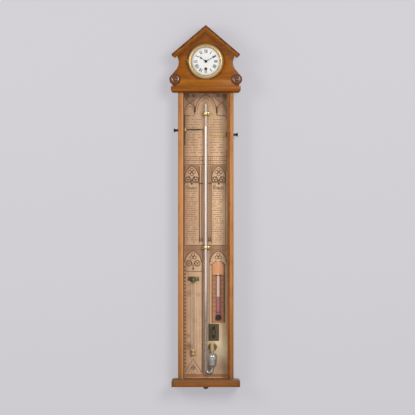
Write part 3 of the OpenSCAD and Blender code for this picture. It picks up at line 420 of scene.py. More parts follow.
def enamel():
    """The white dial: fired enamel with a few hairlines and a warmer rim."""
    s = Shader("enamel_dial", Coat_Weight=0.6, Coat_Roughness=0.06)
    low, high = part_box("dial")
    middle = (low + high) / 2
    from_middle = s.distance(middle)
    cloud = s.noise((14, 14, 14), detail=4, rough=0.6)
    colour = s.mix(s.level(cloud, 0.35, 0.75, 0.0, 0.4), srgb(236, 238, 238), srgb(224, 225, 222))
    rim = s.level(from_middle, 40 * MM, 50 * MM, 0.0, 0.45)
    colour = s.mix(rim, colour, srgb(206, 205, 198))
    crack = s.level(s.noise((20, 20, 20), detail=1, twist=2.0), 0.498, 0.502)
    hairline = s.times(crack, s.level(crack, 1.0, 0.98, 0.0, 0.25))
    s.set("Base_Color", s.mix(hairline, colour, srgb(150, 146, 136)))
    s.set("Roughness", s.level(cloud, 0.3, 0.8, 0.12, 0.28))
    s.bump(cloud, 0.08, 0.3)
    return s.material


def ebony():
    """Turned and ebonised knobs: near black, glossy, with rubbed brown showing through."""
    s = Shader("ebony_knob", Coat_Weight=0.5, Coat_Roughness=0.14)
    turned = s.noise((0.5, 6, 6), detail=3)
    worn = s.level(s.noise((4, 4, 4), detail=4), 0.58, 0.78, 0.0, 0.5)
    s.set("Base_Color", s.mix(worn, srgb(22, 19, 18), srgb(58, 38, 26)))
    s.set("Roughness", s.level(turned, 0.3, 0.7, 0.22, 0.4))
    s.bump(turned, 0.08, 0.5)
    return s.material


def quicksilver():
    """Mercury: pale with painted reflection in the long limb, greyer and browner low down, and more of a
    mirror in the bottle.
    """
    s = Shader("mercury", Specular_IOR_Level=0.6)
    height = s.axis("Z")
    dull = s.level(height, FOOT + 225 * MM, FOOT + 340 * MM, 1.0, 0.0)
    mottle = s.noise((2.4, 2.4, 9), detail=4)
    lower_tone = s.times(dull, s.level(mottle, 0.25, 0.7, 0.55, 1.0))
    # the long limb's warm near-white is painted reflection: the mirror's glare spread across the column, and
    # the paper it mirrors
    s.set("Base_Color", s.mix(lower_tone, srgb(255, 246, 240), srgb(136, 116, 98)))
    bottle = s.level(s.axis("X"), 9 * MM, 12 * MM)
    s.set("Metallic", s.level(bottle, 0.0, 1.0, 0.35, 0.6))
    rough = s.level(s.plus(lower_tone, s.times(mottle, 0.3)), 0.0, 1.2, 0.34, 0.6)
    s.set("Roughness", s.level(bottle, 0.0, 1.0, rough, 0.34))
    return s.material


def dyed_spirit():
    """The thermometer's dyed spirit, magenta and a little cloudy."""
    s = Shader("spirit", Coat_Weight=0.4, Coat_Roughness=0.08)
    cloud = s.noise((3, 3, 12), detail=3)
    s.set("Base_Color", s.mix(s.level(cloud, 0.3, 0.7), srgb(150, 52, 84), srgb(112, 34, 62)))
    s.set("Roughness", s.level(cloud, 0.3, 0.7, 0.2, 0.34))
    return s.material


def storm_liquid():
    """The storm glass's liquor: nearly clear, milky in drifts."""
    s = Shader("storm_liquid", Base_Color=srgb(214, 206, 190), Roughness=0.3)
    drift = s.noise((5, 5, 30), detail=4, twist=0.6)
    s.set("Alpha", s.level(drift, 0.35, 0.8, 0.02, 0.14))
    return s.material


def label_paint():
    """The label plate's dark paint, chipped and rubbed."""
    s = Shader("label_metal", Specular_IOR_Level=0.15)
    colour, worn = srgb(84, 74, 44), srgb(108, 96, 64)
    patch = s.level(s.noise((8, 8, 8), detail=6, rough=0.65), 0.50, 0.75, 0.0, 0.7)
    fine = s.noise((0.7, 0.7, 0.7), detail=3)
    rubbed = s.maths("MAXIMUM", patch, s.times(s.edges(), 0.7))
    s.set("Base_Color", s.mix(rubbed, s.mix(s.level(fine, 0.3, 0.7, 0.0, 0.25), colour, worn), worn))
    s.set("Roughness", s.level(fine, 0.2, 0.8, 0.35, 0.6))
    s.bump(fine, 0.04, 0.5)
    return s.material


def backed_glass():
    """The thermometer's tube: enamel behind it, and the glass spreads the dyed thread across its width."""
    s = Shader("enamel_glass", Coat_Weight=0.3, Coat_Roughness=0.05, Specular_IOR_Level=0.3)
    spirit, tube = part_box("thermometer_spirit"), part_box("thermometer_tube")
    streak = s.noise((1.6, 1.6, 22), detail=3)
    white = s.mix(s.level(streak, 0.3, 0.7), srgb(250, 228, 218), srgb(228, 200, 190))
    dyed = s.mix(s.level(streak, 0.3, 0.7), srgb(206, 136, 150), srgb(172, 96, 122))
    height = s.axis("Z")
    thread = s.level(height, spirit[1].z, spirit[1].z + 1.5 * MM, 1.0, 0.0)
    bulb_top = tube[0].z + tube[1].x - tube[0].x
    bulb = s.level(height, bulb_top, bulb_top + 4 * MM, 1.0, 0.0)
    colour = s.mix(bulb, s.mix(thread, white, dyed), srgb(42, 14, 25))
    s.set("Base_Color", colour)
    s.set("Alpha", s.level(bulb, 0.0, 1.0, 0.9, 0.96))
    s.set("Roughness", s.level(streak, 0.3, 0.7, 0.15, 0.3))
    return s.material


def plain_crystal():
    """Camphor crystals grown in the storm glass."""
    s = Shader("storm_crystal", Subsurface_Weight=0.3)
    grown = s.noise((1.2, 1.2, 3), detail=3)
    s.set("Base_Color", s.mix(s.level(grown, 0.3, 0.7), srgb(232, 226, 214), srgb(204, 196, 180)))
    s.set("Roughness", s.level(grown, 0.3, 0.7, 0.35, 0.6))
    return s.material


ROOF_OAK = (srgb(106, 62, 22), srgb(74, 42, 14), 0.25, 0.05, None)
OAK_TONES = {  # slot or node: pale and dark wood, rubbing at the edges, polish, and what tones it by place: stains, and painted light and shade
    "oak_case": (srgb(176, 106, 34), srgb(132, 74, 16), 0.4, 0.05, None),
    "oak_stile": (srgb(222, 160, 100), srgb(182, 118, 60), 0.6, 0.05, stile_painted_shading),
    "oak_gable": (srgb(174, 104, 20), srgb(120, 64, 5), 0.3, 0.05, None),
    "oak_back": (srgb(164, 112, 66), srgb(116, 72, 36), 0.3, 0.0, None),
    "turned_boss": (srgb(136, 74, 22), srgb(92, 46, 10), 0.1, 1.0, None),
    "base_drop_button": (srgb(84, 56, 34), srgb(56, 36, 22), 0.1, 0.3, None),
    "pediment_board": (srgb(184, 110, 14), srgb(128, 67, 3), 0.3, 0.05, gable_painted_shade),
    "frieze_rail": (srgb(190, 117, 26), srgb(140, 80, 12), 0.3, 0.05, None),
    "base_board": (srgb(178, 113, 46), srgb(132, 79, 24), 0.5, 0.05, plinth_dust_and_painted_shade),
    "cornice_board": (srgb(178, 105, 22), srgb(130, 71, 8), 0.3, 0.05, cornice_painted_shade),
    "left_roof_board": ROOF_OAK,
    "right_roof_board": ROOF_OAK,
}
UPRIGHT = ("backboard", "left_stile", "right_stile", "head_sides", "glazing_beads")
RAKED = ("left_roof_board", "right_roof_board", "raking_mouldings")


def wooden(node, slot, shift):
    """A node's oak; each board is cut from its own part of the tree, and most run along X."""
    grain = "Z" if node in UPRIGHT else "rake" if node in RAKED else "X"
    pale, dark, wear, polish, stain_and_shade = OAK_TONES.get(node) or OAK_TONES[slot]
    return oak(f"oak_{node}", grain, pale, dark, wear, shift, polish, stain_and_shade)


METALS = {  # slot: what metal() takes after its name
    "aged_brass": (srgb(150, 122, 74), srgb(92, 70, 44), (0.4, 0.7)),
    "green_brass": (srgb(150, 142, 98), srgb(96, 92, 66), (0.35, 0.65), (0.4, 0.6)),
    "dark_wire": (srgb(104, 88, 64), srgb(50, 42, 34), (0.4, 0.7), (0.4, 0.6)),
    "steel": (srgb(190, 190, 190), srgb(130, 126, 122), (0.5, 0.8)),
    "blued_steel": (srgb(62, 70, 96), srgb(34, 38, 54), (0.4, 0.8), (0.18, 0.34)),
    "movement_brass": (srgb(226, 192, 120), srgb(186, 150, 86), (0.6, 0.85)),
    "bright_brass": (srgb(250, 220, 148), srgb(206, 172, 106), (0.5, 0.8), (0.25, 0.42), FINE, 0.85),
    "bezel_brass": (
        srgb(214, 188, 138), srgb(182, 152, 104), (0.5, 0.85), (0.4, 0.52), (0.3, 4, 0.3), 0.75, hinge_painted_shade
    ),
}


def make_materials():
    """One material for each slot of the record that isn't oak, and for the two kinds of thin glass."""
    board = (srgb(255, 196, 146), srgb(236, 162, 112), 0.2)
    return {
        **{slot: metal(slot, *look) for slot, look in METALS.items()},
        "packing_wood": oak("packing_wood", "Z", srgb(120, 84, 52), srgb(80, 52, 30), 0.2),
        "thermometer_wood": oak("thermometer_wood", "Z", *board, stain_and_shade=scale_darkening),
        "chart_paper": paper(),
        "case_glass": clear("case_glass", haze=0.0, smear=0.015),
        # a painted dark outline, in place of the dark that refraction shows at a tube's sides
        "tube_glass": clear("tube_glass", 0.02, 0.05, 0.22, srgb(92, 76, 62), 0.6, bottle_cloud),
        # a pale outline with a painted glow
        "storm_glass": clear("storm_glass", 0.0, 0.02, 0.05, srgb(240, 228, 210), 0.5, None, 0.35),
        "dial_glass": clear("dial_glass", -0.02, 0.01),
        "enamel_glass": backed_glass(),
        "mercury": quicksilver(),
        "spirit": dyed_spirit(),
        "storm_liquid": storm_liquid(),
        "ebony_knob": ebony(),
        "enamel_dial": enamel(),
        "label_metal": label_paint(),
    }


# ---------------------------------------------------------------- mesh helpers


def as_piece(name, bm, material, body, smooth=True):
    """The bmesh as an object in the row frame that rides on a body."""
    bmesh.ops.recalc_face_normals(bm, faces=bm.faces)
    mesh = bpy.data.meshes.new(name)
    bm.to_mesh(mesh)
    bm.free()
    piece = bpy.data.objects.new(name, mesh)
    bpy.context.scene.collection.objects.link(piece)
    mesh.materials.append(material)
    if smooth:
        mesh.shade_smooth()
        mesh.set_sharp_from_angle(angle=SMOOTH_UNDER)
    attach(piece, body)
    return piece


def softened(node, width, material):
    """A copy of a CAD node with its sharp edges rounded over by width, which stands for the node."""
    bm = bmesh.new()
    bm.from_mesh(frame["nodes"][node].data)
    bmesh.ops.remove_doubles(bm, verts=bm.verts, dist=MERGE)
    bmesh.ops.dissolve_limit(bm, angle_limit=math.radians(0.5), verts=bm.verts, edges=bm.edges)
    edge = bm.faces.layers.float.new("edge")
    sharp = [e for e in bm.edges if e.is_manifold and e.calc_face_angle(0) > SMOOTH_UNDER]
    rounded = bmesh.ops.bevel(
        bm, geom=sharp, offset=width, segments=2, profile=0.5, affect="EDGES", clamp_overlap=True
    )
    for face in rounded["faces"]:
        face[edge] = 1.0
    bmesh.ops.triangulate(bm, faces=[f for f in bm.faces if len(f.verts) > 4])
    piece = as_piece(f"{node}_soft", bm, material, BODY_OF[node])
    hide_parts(node)
    return piece


WORD_LENGTHS = (1.2, 6.0)         # shortest and longest mark in a row of print, in millimetres
WORD_GAPS = (0.8, 1.6)
RAGGED = 0.25                     # how much of its width a row may stop short by


class Printed:
    """Marks on a flat face that looks to -Y, as thin closed prisms. Points are (x, up) in millimetres."""

    def __init__(self, face, depth=INK_DEPTH, origin=(0.0, FOOT)):
        self.bm = bmesh.new()
        self.face = face
        self.depth = depth
        self.origin = origin

    def corner(self, point, out):
        x, up = point
        place = (self.origin[0] + x * MM, self.face - out * self.depth, self.origin[1] + up * MM)
        return self.bm.verts.new(place)

    def ribbon(self, points, width, closed=False):
        """A line of the given width through the points."""
        points = [Vector(p) for p in points]
        last = len(points) - 1
        rows = []
        for i, point in enumerate(points):
            before = points[i - 1] if closed or i > 0 else point
            after = points[0] if closed and i == last else points[min(i + 1, last)]
            along = (after - before).normalized()
            side = Vector((-along.y, along.x)) * width / 2
            rows.append([
                self.corner(point + side, 0),
                self.corner(point - side, 0),
                self.corner(point - side, 1),
                self.corner(point + side, 1),
            ])
        for i in range(len(rows) if closed else last):
            here, there = rows[i], rows[(i + 1) % len(rows)]
            for k in range(4):
                self.bm.faces.new((here[k], here[k - 1], there[k - 1], there[k]))
        if not closed:
            self.bm.faces.new(rows[0])
            self.bm.faces.new(rows[-1][::-1])

    def outline(self, points):
        """A filled shape."""
        back = [self.corner(p, 0) for p in points]
        front = [self.corner(p, 1) for p in points]
        self.bm.faces.new(back)
        self.bm.faces.new(front[::-1])
        for i in range(len(points)):
            self.bm.faces.new((back[i - 1], back[i], front[i], front[i - 1]))

    def disc(self, centre, radius):
        self.outline(round_points(centre, radius, 12))

    def ring(self, centre, radius, width, steps=24):
        self.ribbon(round_points(centre, radius, steps), width, closed=True)

    def pointed(self, left, right, spring, apex, width):
        """A pointed arch that springs upright from (left, spring) and (right, spring)."""
        arc = [(left + inset, spring + up) for inset, up in arch_side(right - left, apex - spring, 8)]
        other = [(left + right - x, up) for x, up in arc]
        self.ribbon(arc + other[-2::-1], width)

    def foils(self, centre, radius, count, width):
        """A traceried circle with its lobes."""
        self.ring(centre, radius, width)
        for x, up in round_points(centre, radius * 0.52, count):
            self.ring((x, up), radius * 0.42, width * 0.7, 14)

    def words(self, left, right, up, height, fill):
        """A row of marks that reads as print but spells nothing; fill is how many aren't left blank."""
        x = left
        while x < right - 1.0:
            length = min(RANDOM.uniform(*WORD_LENGTHS), right - x)
            if RANDOM.random() < fill:
                self.ribbon([(x, up), (x + length, up)], height * RANDOM.uniform(0.75, 1.1))
            x += length + RANDOM.uniform(*WORD_GAPS)

    def lines(self, left, right, top, bottom, step, height, fill):
        """Rows of such marks from top down to bottom."""
        for k in range(int((top - bottom) / step) + 1):
            short = RANDOM.uniform(0, RAGGED) * (right - left)
            self.words(left, right - short, top - k * step, height, fill)

    def done(self, name, material, body, slot):
        return as_piece(name, self.bm, material, body, smooth=False)


def round_points(centre, radius, steps):
    """Points spaced evenly round a circle, the first one at its top."""
    turns = [math.tau * k / steps for k in range(steps)]
    return [(centre[0] + radius * math.sin(turn), centre[1] + radius * math.cos(turn)) for turn in turns]


def arch_side(width, rise, steps):
    """One side of a pointed arch from its springing to its apex, as pairs of inset and height."""
    half = width / 2
    radius = (half * half + rise * rise) / (2 * half)
    sweep = math.asin(min(1.0, rise / radius))
    turns = [sweep * k / steps for k in range(steps + 1)]
    return [(radius * (1 - math.cos(turn)), radius * math.sin(turn)) for turn in turns]


# ---------------------------------------------------------------- the chart


CHART_HALF = 70                   # half the printed width, in millimetres


def rule(marks, up, width):
    """A line right across the chart."""
    marks.ribbon([(-CHART_HALF, up), (CHART_HALF, up)], width)


def spandrels(band, left, right, spring, apex, top):
    """The filled corners between a pointed arch and the box round it."""
    middle, half = (left + right) / 2, (right - left) / 2
    for side in (-1, 1):
        arc = [
            (middle + side * (half - inset), spring + up)
            for inset, up in arch_side(right - left, apex - spring, 6)
        ]
        for low, high in zip(arc, arc[1:]):
            band.outline([low, high, (high[0], top), (low[0], top)])


def upper_chart(dark, faint, band):
    """The head of the chart: three arches of tracery over two columns of print."""
    for side, spring in ((-1, 897), (1, 894)):
        near, far = sorted((36 * side, 68 * side))
        middle = (near + far) / 2
        spandrels(band, near, far, spring + 4, 921, 936)
        dark.pointed(near, far, spring, 921, 3.0)
        dark.pointed(near + 5, far - 5, spring, 912, 1.6)
        dark.ribbon([(middle, 921), (middle + 15 * side, 938)], 2.2)
        dark.ribbon([(middle, 921), (middle - 22 * side, 938)], 2.4)
        dark.foils((middle + 10 * side, 944), 7, 4, 2.0)
        dark.foils((middle - 12 * side, 946), 5, 3, 1.6)
        pendant = 36 * side
        dark.ribbon([(pendant, 912), (pendant, spring - 8)], 3.6)
        dark.disc((pendant, spring - 2), 3.4)
        dark.disc((pendant, spring - 10), 2.0)
        dark.ribbon([(68 * side, spring + 2), (68 * side, 700)], 2.0)
        dark.words(near + 1, far - 2, 880.5, 4.6, 0.9)
        left, right = (-66, -12) if side < 0 else (13, 64)
        faint.lines(left, right, 868, 752, 8.3, 3.0, 0.85)
    rule(band, 942, 9)
    dark.pointed(-34, 34, 897, 950, 3.0)
    dark.pointed(-27, 27, 900, 938, 1.4)
    for up in (747, 734, 721.5):
        rule(dark, up, 1.8)
    for up in (740.5, 728):
        faint.words(-66, -20, up, 2.6, 0.9)
        faint.words(18, 64, up, 2.6, 0.9)


def middle_chart(dark, faint, band):
    """Two traceried windows, each over a column of print between slim shafts."""
    for left, right, shafts in ((-69.5, -22, (-19.2, -12.2)), (18.5, 65, (8.2, 14.6))):
        middle = (left + right) / 2
        spandrels(band, left, right, 680, 717, 720)
        dark.pointed(left, right, 676, 717, 3.0)
        for x, up in round_points((middle, 697), 6.6, 4):
            dark.ring((x, up), 5.4, 2.2, 16)
        for light in (middle - 12.6, middle + 12.6):
            dark.foils((light, 671), 9.8, 3, 2.8)
            dark.pointed(light - 11, light + 11, 655, 667, 1.8)
        dark.ribbon([(middle - 9, 684), (middle, 668), (middle + 9, 684)], 3.0)
        dark.ribbon([(middle, 670), (middle, 658)], 3.4)
        dark.disc((middle, 659), 3.2)
        for x in shafts:
            band.ribbon([(x, 747), (x, 468)], 2.6)
            dark.ribbon([(x - 2, 716), (x - 2, 470)], 1.3)
            dark.outline([(x - 1.6, 484), (x + 1.6, 484), (x + 3.4, 470), (x - 3.4, 470)])
        dark.ribbon([(shafts[0] - 3.6, 659.5), (shafts[1] + 3.6, 659.5)], 4.2)
        for x in (left, right):
            dark.ribbon([(x, 716), (x, 462)], 2.0)
        heading(dark, left + 5, right - 8)
        faint.lines(left + 3, right - 4, 634, 468, 6.9, 2.9, 0.85)
    rule(band, 451, 14)
    rule(dark, 458, 2.2)
    rule(dark, 443, 1.6)


def heading(dark, left, right):
    """Black-letter strokes, the first ones tall, that spell nothing."""
    x = left
    while x < right:
        early = x < left + 9
        top = RANDOM.uniform(653, 657) if early else RANDOM.uniform(646, 650)
        foot = RANDOM.uniform(638, 641)
        dark.ribbon([(x, top), (x + RANDOM.uniform(-0.8, 0.8), foot)], RANDOM.uniform(1.5, 2.6))
        x += RANDOM.uniform(3.0, 4.6)


DASHES = 29
FIRST_DASH, DASH_STEP = 387, 11.6


def lower_chart(dark, faint, band):
    """Round-headed windows, the scale of dashes, and the cresting at the foot."""
    for middle in (-41.5, 40.5):
        spandrels(band, middle - 27, middle + 27, 404, 439, 442)
        dark.pointed(middle - 27, middle + 27, 402, 439, 3.0)
        for x, up in round_points((middle, 421), 6.4, 3):
            dark.ring((x, up), 5.2, 2.2, 16)
        for light in (middle - 13.6, middle + 13.6):
            dark.foils((light, 399), 9.4, 3, 2.4)
    dark.ribbon([(-48.5, 406), (-41.5, 392), (-34.5, 406)], 2.8)
    dark.ribbon([(-41.5, 394), (-41.5, 380)], 3.0)
    dark.disc((-41.5, 381), 3.0)
    dark.ribbon([(-65, 372.5), (-12, 372.5)], 2.0)
    faint.lines(-62, -50, 340, 290, 6.9, 2.4, 0.5)
    for k in range(DASHES):
        up = FIRST_DASH - DASH_STEP * k
        dark.ribbon([(-69.8, up), (-65.2, up)], 6.2)
    for x, low in ((-12.6, 40), (-10.0, 40), (11.2, 160)):
        dark.ribbon([(x, 441), (x, low)], 1.6)
    for reach, width in ((27, 2.2), (16, 1.4)):
        dark.ribbon([(-41 - reach, 44), (-41, 47 + reach * 1.5), (-41 + reach, 44)], width)
    dark.foils((-41, 58), 5.6, 3, 1.4)


def thermometer_border(light):
    """The pale printed arch that frames the thermometer."""
    low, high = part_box("thermometer_board")
    left, right = low.x / MM - 4.6, high.x / MM + 4.6
    top = (high.z - FOOT) / MM
    light.pointed(left, right, top - 12, top + 6, 3.6)
    for x in (left, right):
        light.ribbon([(x, top - 8), (x, (low.z - FOOT) / MM - 6)], 3.6)


def chart():
    """All of the chart's print, in one piece for each ink."""
    dark, faint, band, light = (Printed(PAPER_FRONT, depth) for depth in CHART_DEPTHS)
    strip = Printed(PAPER_FRONT)
    rule(strip, 33.4, 10.4)
    upper_chart(dark, faint, band)
    middle_chart(dark, faint, band)
    lower_chart(dark, faint, band)
    thermometer_border(light)
    looks = (
        (band, "chart_bands", ink("chart_brown", srgb(176, 134, 100), 0.5)),
        (faint, "chart_lines", ink("chart_ink_faded", srgb(164, 127, 98), 0.6)),
        (dark, "chart_tracery", ink("chart_ink", srgb(122, 84, 58), 0.45)),
        (light, "chart_border", ink("chart_border", srgb(238, 208, 172), 0.3)),
        (strip, "chart_foot", ink("chart_foot", srgb(190, 130, 82), 0.3)),
    )
    for printed, name, material in looks:
        printed.done(name, material, "case", "chart_paper")


# ---------------------------------------------------------------- dial, scales and plates


NUMERALS = ("XII", "I", "II", "III", "IIII", "V", "VI", "VII", "VIII", "IX", "X", "XI")
GLYPHS = {  # width, and strokes as (from, to, thickness), in numeral heights
    "I": (0.27, (((0.135, 0), (0.135, 1), 0.18),)),
    "V": (0.56, (((0.12, 1), (0.29, 0), 0.18), ((0.46, 1), (0.29, 0), 0.07))),
    "X": (0.60, (((0.12, 1), (0.48, 0), 0.18), ((0.48, 1), (0.12, 0), 0.07))),
}


def numeral(marks, text, hour, radius, height):
    """A Roman numeral that stands on the dial with its foot to the centre."""
    angle = math.tau * hour / 12
    out = Vector((math.sin(angle), math.cos(angle)))
    across = Vector((out.y, -out.x))
    width = sum(GLYPHS[c][0] for c in text)

    def spot(x, up):
        return across * (x - width / 2) * height + out * (radius + (up - 0.5) * height)

    x = 0.0
    for letter in text:
        for start, end, thickness in GLYPHS[letter][1]:
            marks.ribbon([spot(x + start[0], start[1]), spot(x + end[0], end[1])], thickness * height)
            for foot in (start, end):
                half = thickness * 0.5 + 0.02
                serif = [spot(x + foot[0] - half, foot[1]), spot(x + foot[0] + half, foot[1])]
                marks.ribbon(serif, 0.05 * height)
        x += GLYPHS[letter][0]


NUMERAL_RADIUS, NUMERAL_HEIGHT = 32.6, 10.2   # on the dial, in millimetres
TRACK_RADII = (39.8, 42.2)
WINDING_RING = (4.6, 1.1)                     # radius and width


def dial_marks():
    """Numerals, the minute track, and the brass ring round the winding hole."""
    low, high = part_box("dial")
    centre = ((low.x + high.x) / 2, (low.z + high.z) / 2)
    marks, track = Printed(low.y, DIAL_INK_DEPTH, centre), Printed(low.y, DIAL_INK_DEPTH, centre)
    for hour, text in enumerate(NUMERALS):
        numeral(marks, text, hour, NUMERAL_RADIUS, NUMERAL_HEIGHT)
    for radius in TRACK_RADII:
        track.ring((0, 0), radius, 0.22, 96)
    for minute in range(60):
        angle = math.tau * minute / 60
        out = Vector((math.sin(angle), math.cos(angle)))
        ends = [out * (TRACK_RADII[0] + 0.1), out * (TRACK_RADII[1] - 0.1)]
        track.ribbon(ends, 0.6 if minute % 5 == 0 else 0.3)
    black = ink("dial_ink", srgb(40, 44, 58), 0.1, srgb(200, 200, 200))
    marks.done("dial_numerals", black, BODY_OF["dial"], "enamel_dial")
    grey = ink("dial_ink_worn", srgb(126, 128, 134), 0.3, srgb(225, 225, 222))
    track.done("dial_minutes", grey, BODY_OF["dial"], "enamel_dial")
    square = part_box("winding_arbor")
    ring = Printed(low.y, 3 * DIAL_INK_DEPTH, centre)
    ring.ring((0, ((square[0].z + square[1].z) / 2 - centre[1]) / MM), *WINDING_RING, 32)
    ring.done("winding_hole_ring", MATERIALS["aged_brass"], BODY_OF["dial"], "aged_brass")


TEN_DEGREES = 14.3                # millimetres on the thermometer's board
FIRST_DEGREES = 244.0             # height of its lowest long mark
TENS = 9
TICKS_FROM = 7.2                  # from the middle of the tube


def thermometer_scale():
    """Degree marks and figures on the thermometer's board."""
    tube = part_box("thermometer_tube")
    middle = (tube[0].x + tube[1].x) / 2 / MM
    marks = Printed(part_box("thermometer_board")[0].y)
    for k in range(TENS):
        up = FIRST_DEGREES + TEN_DEGREES * k
        for side in (-1, 1):
            marks.ribbon([(middle + side * TICKS_FROM, up), (middle + side * 12.0, up)], 1.0)
            for part in range(1, 5 if k < TENS - 1 else 1):
                between = up + part * TEN_DEGREES / 5
                marks.ribbon([(middle + side * TICKS_FROM, between), (middle + side * 9.6, between)], 0.5)
            digits(marks, str(10 * (k + 1)), middle + side * 15.2, up, 4.4)
    last = FIRST_DEGREES + TEN_DEGREES * (TENS - 1)
    for side in (-1, 1):
        marks.ribbon([(middle + side * 7.0, FIRST_DEGREES), (middle + side * 7.0, last)], 0.5)
    black = ink("scale_ink", srgb(84, 44, 28), 0.15)
    marks.done("thermometer_scale", black, "case", "thermometer_wood")


SEGMENTS = {  # figures as strokes on a 2 by 3 grid of points, numbered from the top left
    "0": ((0, 1, 3, 5, 4, 2, 0),),
    "1": ((1, 3, 5),),
    "2": ((0, 1, 3, 2, 4, 5),),
    "3": ((0, 1, 3, 5, 4), (2, 3)),
    "4": ((0, 2, 3), (1, 3, 5)),
    "5": ((1, 0, 2, 3, 5, 4),),
    "6": ((1, 0, 2, 4, 5, 3, 2),),
    "7": ((0, 1, 3, 5),),
    "8": ((0, 1, 3, 5, 4, 2, 0), (2, 3)),
    "9": ((3, 2, 0, 1, 3, 5, 4),),
}


def digits(marks, text, middle, up, height):
    """A small number, middled on (middle, up)."""
    width, gap = height * 0.46, height * 0.26
    left = middle - (len(text) * (width + gap) - gap) / 2
    for character in text:
        grid = [
            (left + column * width, up + (0.5 - row / 2) * height) for row in range(3) for column in range(2)
        ]
        for stroke in SEGMENTS[character]:
            marks.ribbon([grid[k] for k in stroke], height * 0.14)
        left += width + gap


def label_marks():
    """The small plate's blackened ornaments, in place of any wording."""
    low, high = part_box("label_plate")
    middle, foot, top = (low.x + high.x) / 2 / MM, (low.z - FOOT) / MM, (high.z - FOOT) / MM
    marks = Printed(low.y)
    for up, wide, tall in ((top - 12, 5.0, 7.4), (foot + 13, 4.8, 6.4)):
        marks.outline([(middle + wide * x, up + tall * z) for x, z in round_points((0, 0), 1.0, 20)])
    for side in (-1, 1):
        bow = [(middle + side * 4, top - 16), (middle + side * 6, top - 27), (middle + side * 4, foot + 15)]
        marks.ribbon(bow, 2.4)
    rim = 1.4
    left, right, under, over = low.x / MM + rim, high.x / MM - rim, foot + rim, top - rim
    marks.ribbon([(left, under), (right, under), (right, over), (left, over)], 1.2, closed=True)
    black = ink("label_black", srgb(16, 13, 10), 0.1, srgb(96, 88, 60))
    marks.done("label_marks", black, "case", "label_metal")


CRYSTALS, IN_BED = 90, 62         # how many in all, and how many of them at the foot


def storm_crystals():
    """Feathery crystals: a bed at the foot of the storm glass and a few threads near its top."""
    low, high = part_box("storm_glass_liquid")
    middle = (low + high) / 2
    reach = (high.x - low.x) / 2 * 0.8
    bm = bmesh.new()
    for k in range(CRYSTALS):
        if k < IN_BED:
            base = low.z + 1.5 * MM + RANDOM.random() ** 2 * 26 * MM
        else:
            base = high.z - RANDOM.uniform(6, 42) * MM
        angle, out = RANDOM.uniform(0, math.tau), reach * math.sqrt(RANDOM.random()) * 0.7
        start = Vector((middle.x + out * math.cos(angle), middle.y + out * math.sin(angle), base))
        lean = Vector((RANDOM.uniform(-0.25, 0.25), RANDOM.uniform(-0.25, 0.25), 1.0)).normalized()
        length = RANDOM.uniform(3, 7) * MM
        tip = start + lean * length
        tip.x = middle.x + max(-reach, min(reach, tip.x - middle.x))
        needle(bm, start, tip, RANDOM.uniform(0.12, 0.3) * MM)
    as_piece("storm_crystals", bm, plain_crystal(), "case", smooth=False)


def needle(bm, start, tip, radius):
    """A thin six-sided crystal, pointed at both ends."""
    along = (tip - start).normalized()
    side = along.orthogonal().normalized()
    middle = (start + tip) / 2
    ring = [
        bm.verts.new(middle + Matrix.Rotation(math.tau * k / 6, 3, along) @ side * radius) for k in range(6)
    ]
    ends = [bm.verts.new(start), bm.verts.new(tip)]
    for k in range(6):
        for end in ends:
            bm.faces.new((ring[k - 1], ring[k], end))


# ---------------------------------------------------------------- dressing the CAD nodes


SOFT_WIDTH = {  # node: how far its sharp edges are rounded, in millimetres
    "backboard": 0.6,
    "left_stile": 1.2,
    "right_stile": 1.2,
    "base_board": 1.0,
    "cornice_board": 1.0,
    "frieze_rail": 0.5,
    "pediment_board": 0.8,
    "head_sides": 0.8,
    "left_roof_board": 1.4,
    "right_roof_board": 1.4,
    "raking_mouldings": 0.7,
    "glazing_beads": 0.6,
    "tube_blocks": 0.6,
    "thermometer_board": 0.8,
    "label_plate": 0.25,
    "hanging_plate": 0.3,
    "tube_straps": 0.25,
    "cistern_strap": 0.25,
    "storm_glass_strap": 0.25,
    "storm_glass_clip": 0.25,
    "rack_guides": 0.4,
}
NODE_LOOKS = {  # nodes that look unlike the rest of their slot
    "storm_glass_tube": "storm_glass",
    "bezel_glass": "dial_glass",
    "clock_drum": "aged_brass",
    "winding_arbor": "dark_wire",
}


def dress_nodes():
    """Every CAD node gets its material, and those with sharp edges a softened stand-in."""
    for number, (node, obj) in enumerate(sorted(frame["nodes"].items())):
        slot = SLOT_OF[node]
        if slot.startswith("oak") or slot == "turned_boss":
            material = wooden(node, slot, number)
        else:
            material = MATERIALS[NODE_LOOKS.get(node, slot)]
        obj.data.materials.clear()
        obj.data.materials.append(material)
        if node in SOFT_WIDTH:
            softened(node, SOFT_WIDTH[node] * MM, material)


# ---------------------------------------------------------------- camera, lights and stage


CAMERA_AT = Vector((5.5 * MM, -9.0, -0.531))
VIEW_WIDTH = 1.345                # metres across the picture, at the front of the case
WALL_GAP = 0.5 * MM               # between the case's back and the wall
FLOOR_DROP = 0.9                  # from the plinth to the floor
STAGE_SIZE = 12.0
LAMP_AIM = Vector((0.0, 0.0, -0.5))
LAMPS = (  # name, place, width and height, and power
    ("key_right", (1.25, -2.8, 0.45), (1.1, 1.4), 55),
    ("key_left", (-2.1, -2.2, 0.25), (1.1, 1.4), 36),
    ("back", (0.9, 2.4, 0.4), (1.6, 1.6), 30),
)


def panel(name, corners, material):
    """A flat sheet of the stage."""
    mesh = bpy.data.meshes.new(name)
    mesh.from_pydata(corners, [], [(0, 1, 2, 3)])
    sheet = bpy.data.objects.new(name, mesh)
    bpy.context.scene.collection.objects.link(sheet)
    mesh.materials.append(material)
    return sheet


def backdrop_material(paint, colour, glow):
    """Grey paint with a pale light of its own, so that it looks even. From behind it isn't there."""
    s = Shader("backdrop", Roughness=0.9, Specular_IOR_Level=0.0)
    s.set("Base_Color", paint)
    s.set("Emission_Color", colour)
    s.set("Emission_Strength", glow)
    behind = s.add("ShaderNodeNewGeometry").outputs["Backfacing"]
    s.set("Alpha", s.less(1.0, behind))
    return s.material


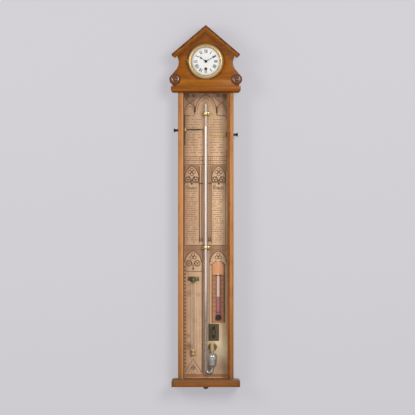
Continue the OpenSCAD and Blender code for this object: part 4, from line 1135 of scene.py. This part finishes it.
def stage():
    """A pale wall just behind the case, and a pale floor well below it."""
    half, floor = STAGE_SIZE / 2, FOOT - FLOOR_DROP
    paint = backdrop_material(srgb(138, 137, 140), srgb(190, 189, 195), 0.72)
    upright = [(half, half), (-half, half), (-half, floor), (half, floor)]
    flat = [(-half, -half), (half, -half), (half, half), (-half, half)]
    wall = panel("wall", [(x, WALL_GAP, z) for x, z in upright], paint)
    ground = panel("floor", [(x, y, floor) for x, y in flat], paint)
    wall.visible_diffuse = wall.visible_glossy = wall.visible_shadow = False
    ground.visible_shadow = False


def lamp(name, place, size, power):
    """A soft box that looks from place towards the middle of the case."""
    light = bpy.data.lights.new(name, "AREA")
    light.shape, light.size, light.size_y = "RECTANGLE", size[0], size[1]
    light.energy, light.color = power, srgb(255, 251, 246)[:3]
    holder = bpy.data.objects.new(name, light)
    bpy.context.scene.collection.objects.link(holder)
    holder.location = place
    holder.rotation_euler = (LAMP_AIM - Vector(place)).to_track_quat("-Z", "Y").to_euler()


def studio():
    """A strong soft box on the right, a weaker one on the left and one for the back."""
    for row in LAMPS:
        lamp(*row)
    world = bpy.data.worlds.new("studio")
    world.use_nodes = True
    world.node_tree.nodes["Background"].inputs["Color"].default_value = srgb(226, 225, 228)
    world.node_tree.nodes["Background"].inputs["Strength"].default_value = 0.38
    scene = bpy.context.scene
    scene.world = world
    scene.view_settings.view_transform = "Standard"
    scene.cycles.transparent_max_bounces = 32   # glass stands behind glass


def camera():
    """Straight on to the front, from far off."""
    data = bpy.data.cameras.new("camera")
    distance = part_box("left_stile")[0].y - CAMERA_AT.y
    data.lens = data.sensor_width * distance / VIEW_WIDTH
    data.clip_end = 50
    holder = bpy.data.objects.new("camera", data)
    bpy.context.scene.collection.objects.link(holder)
    holder.location = CAMERA_AT
    holder.rotation_euler = (math.pi / 2, 0, 0)
    bpy.context.scene.camera = holder


MATERIALS = make_materials()
dress_nodes()
chart()
dial_marks()
thermometer_scale()
label_marks()
storm_crystals()
stage()
studio()
camera()
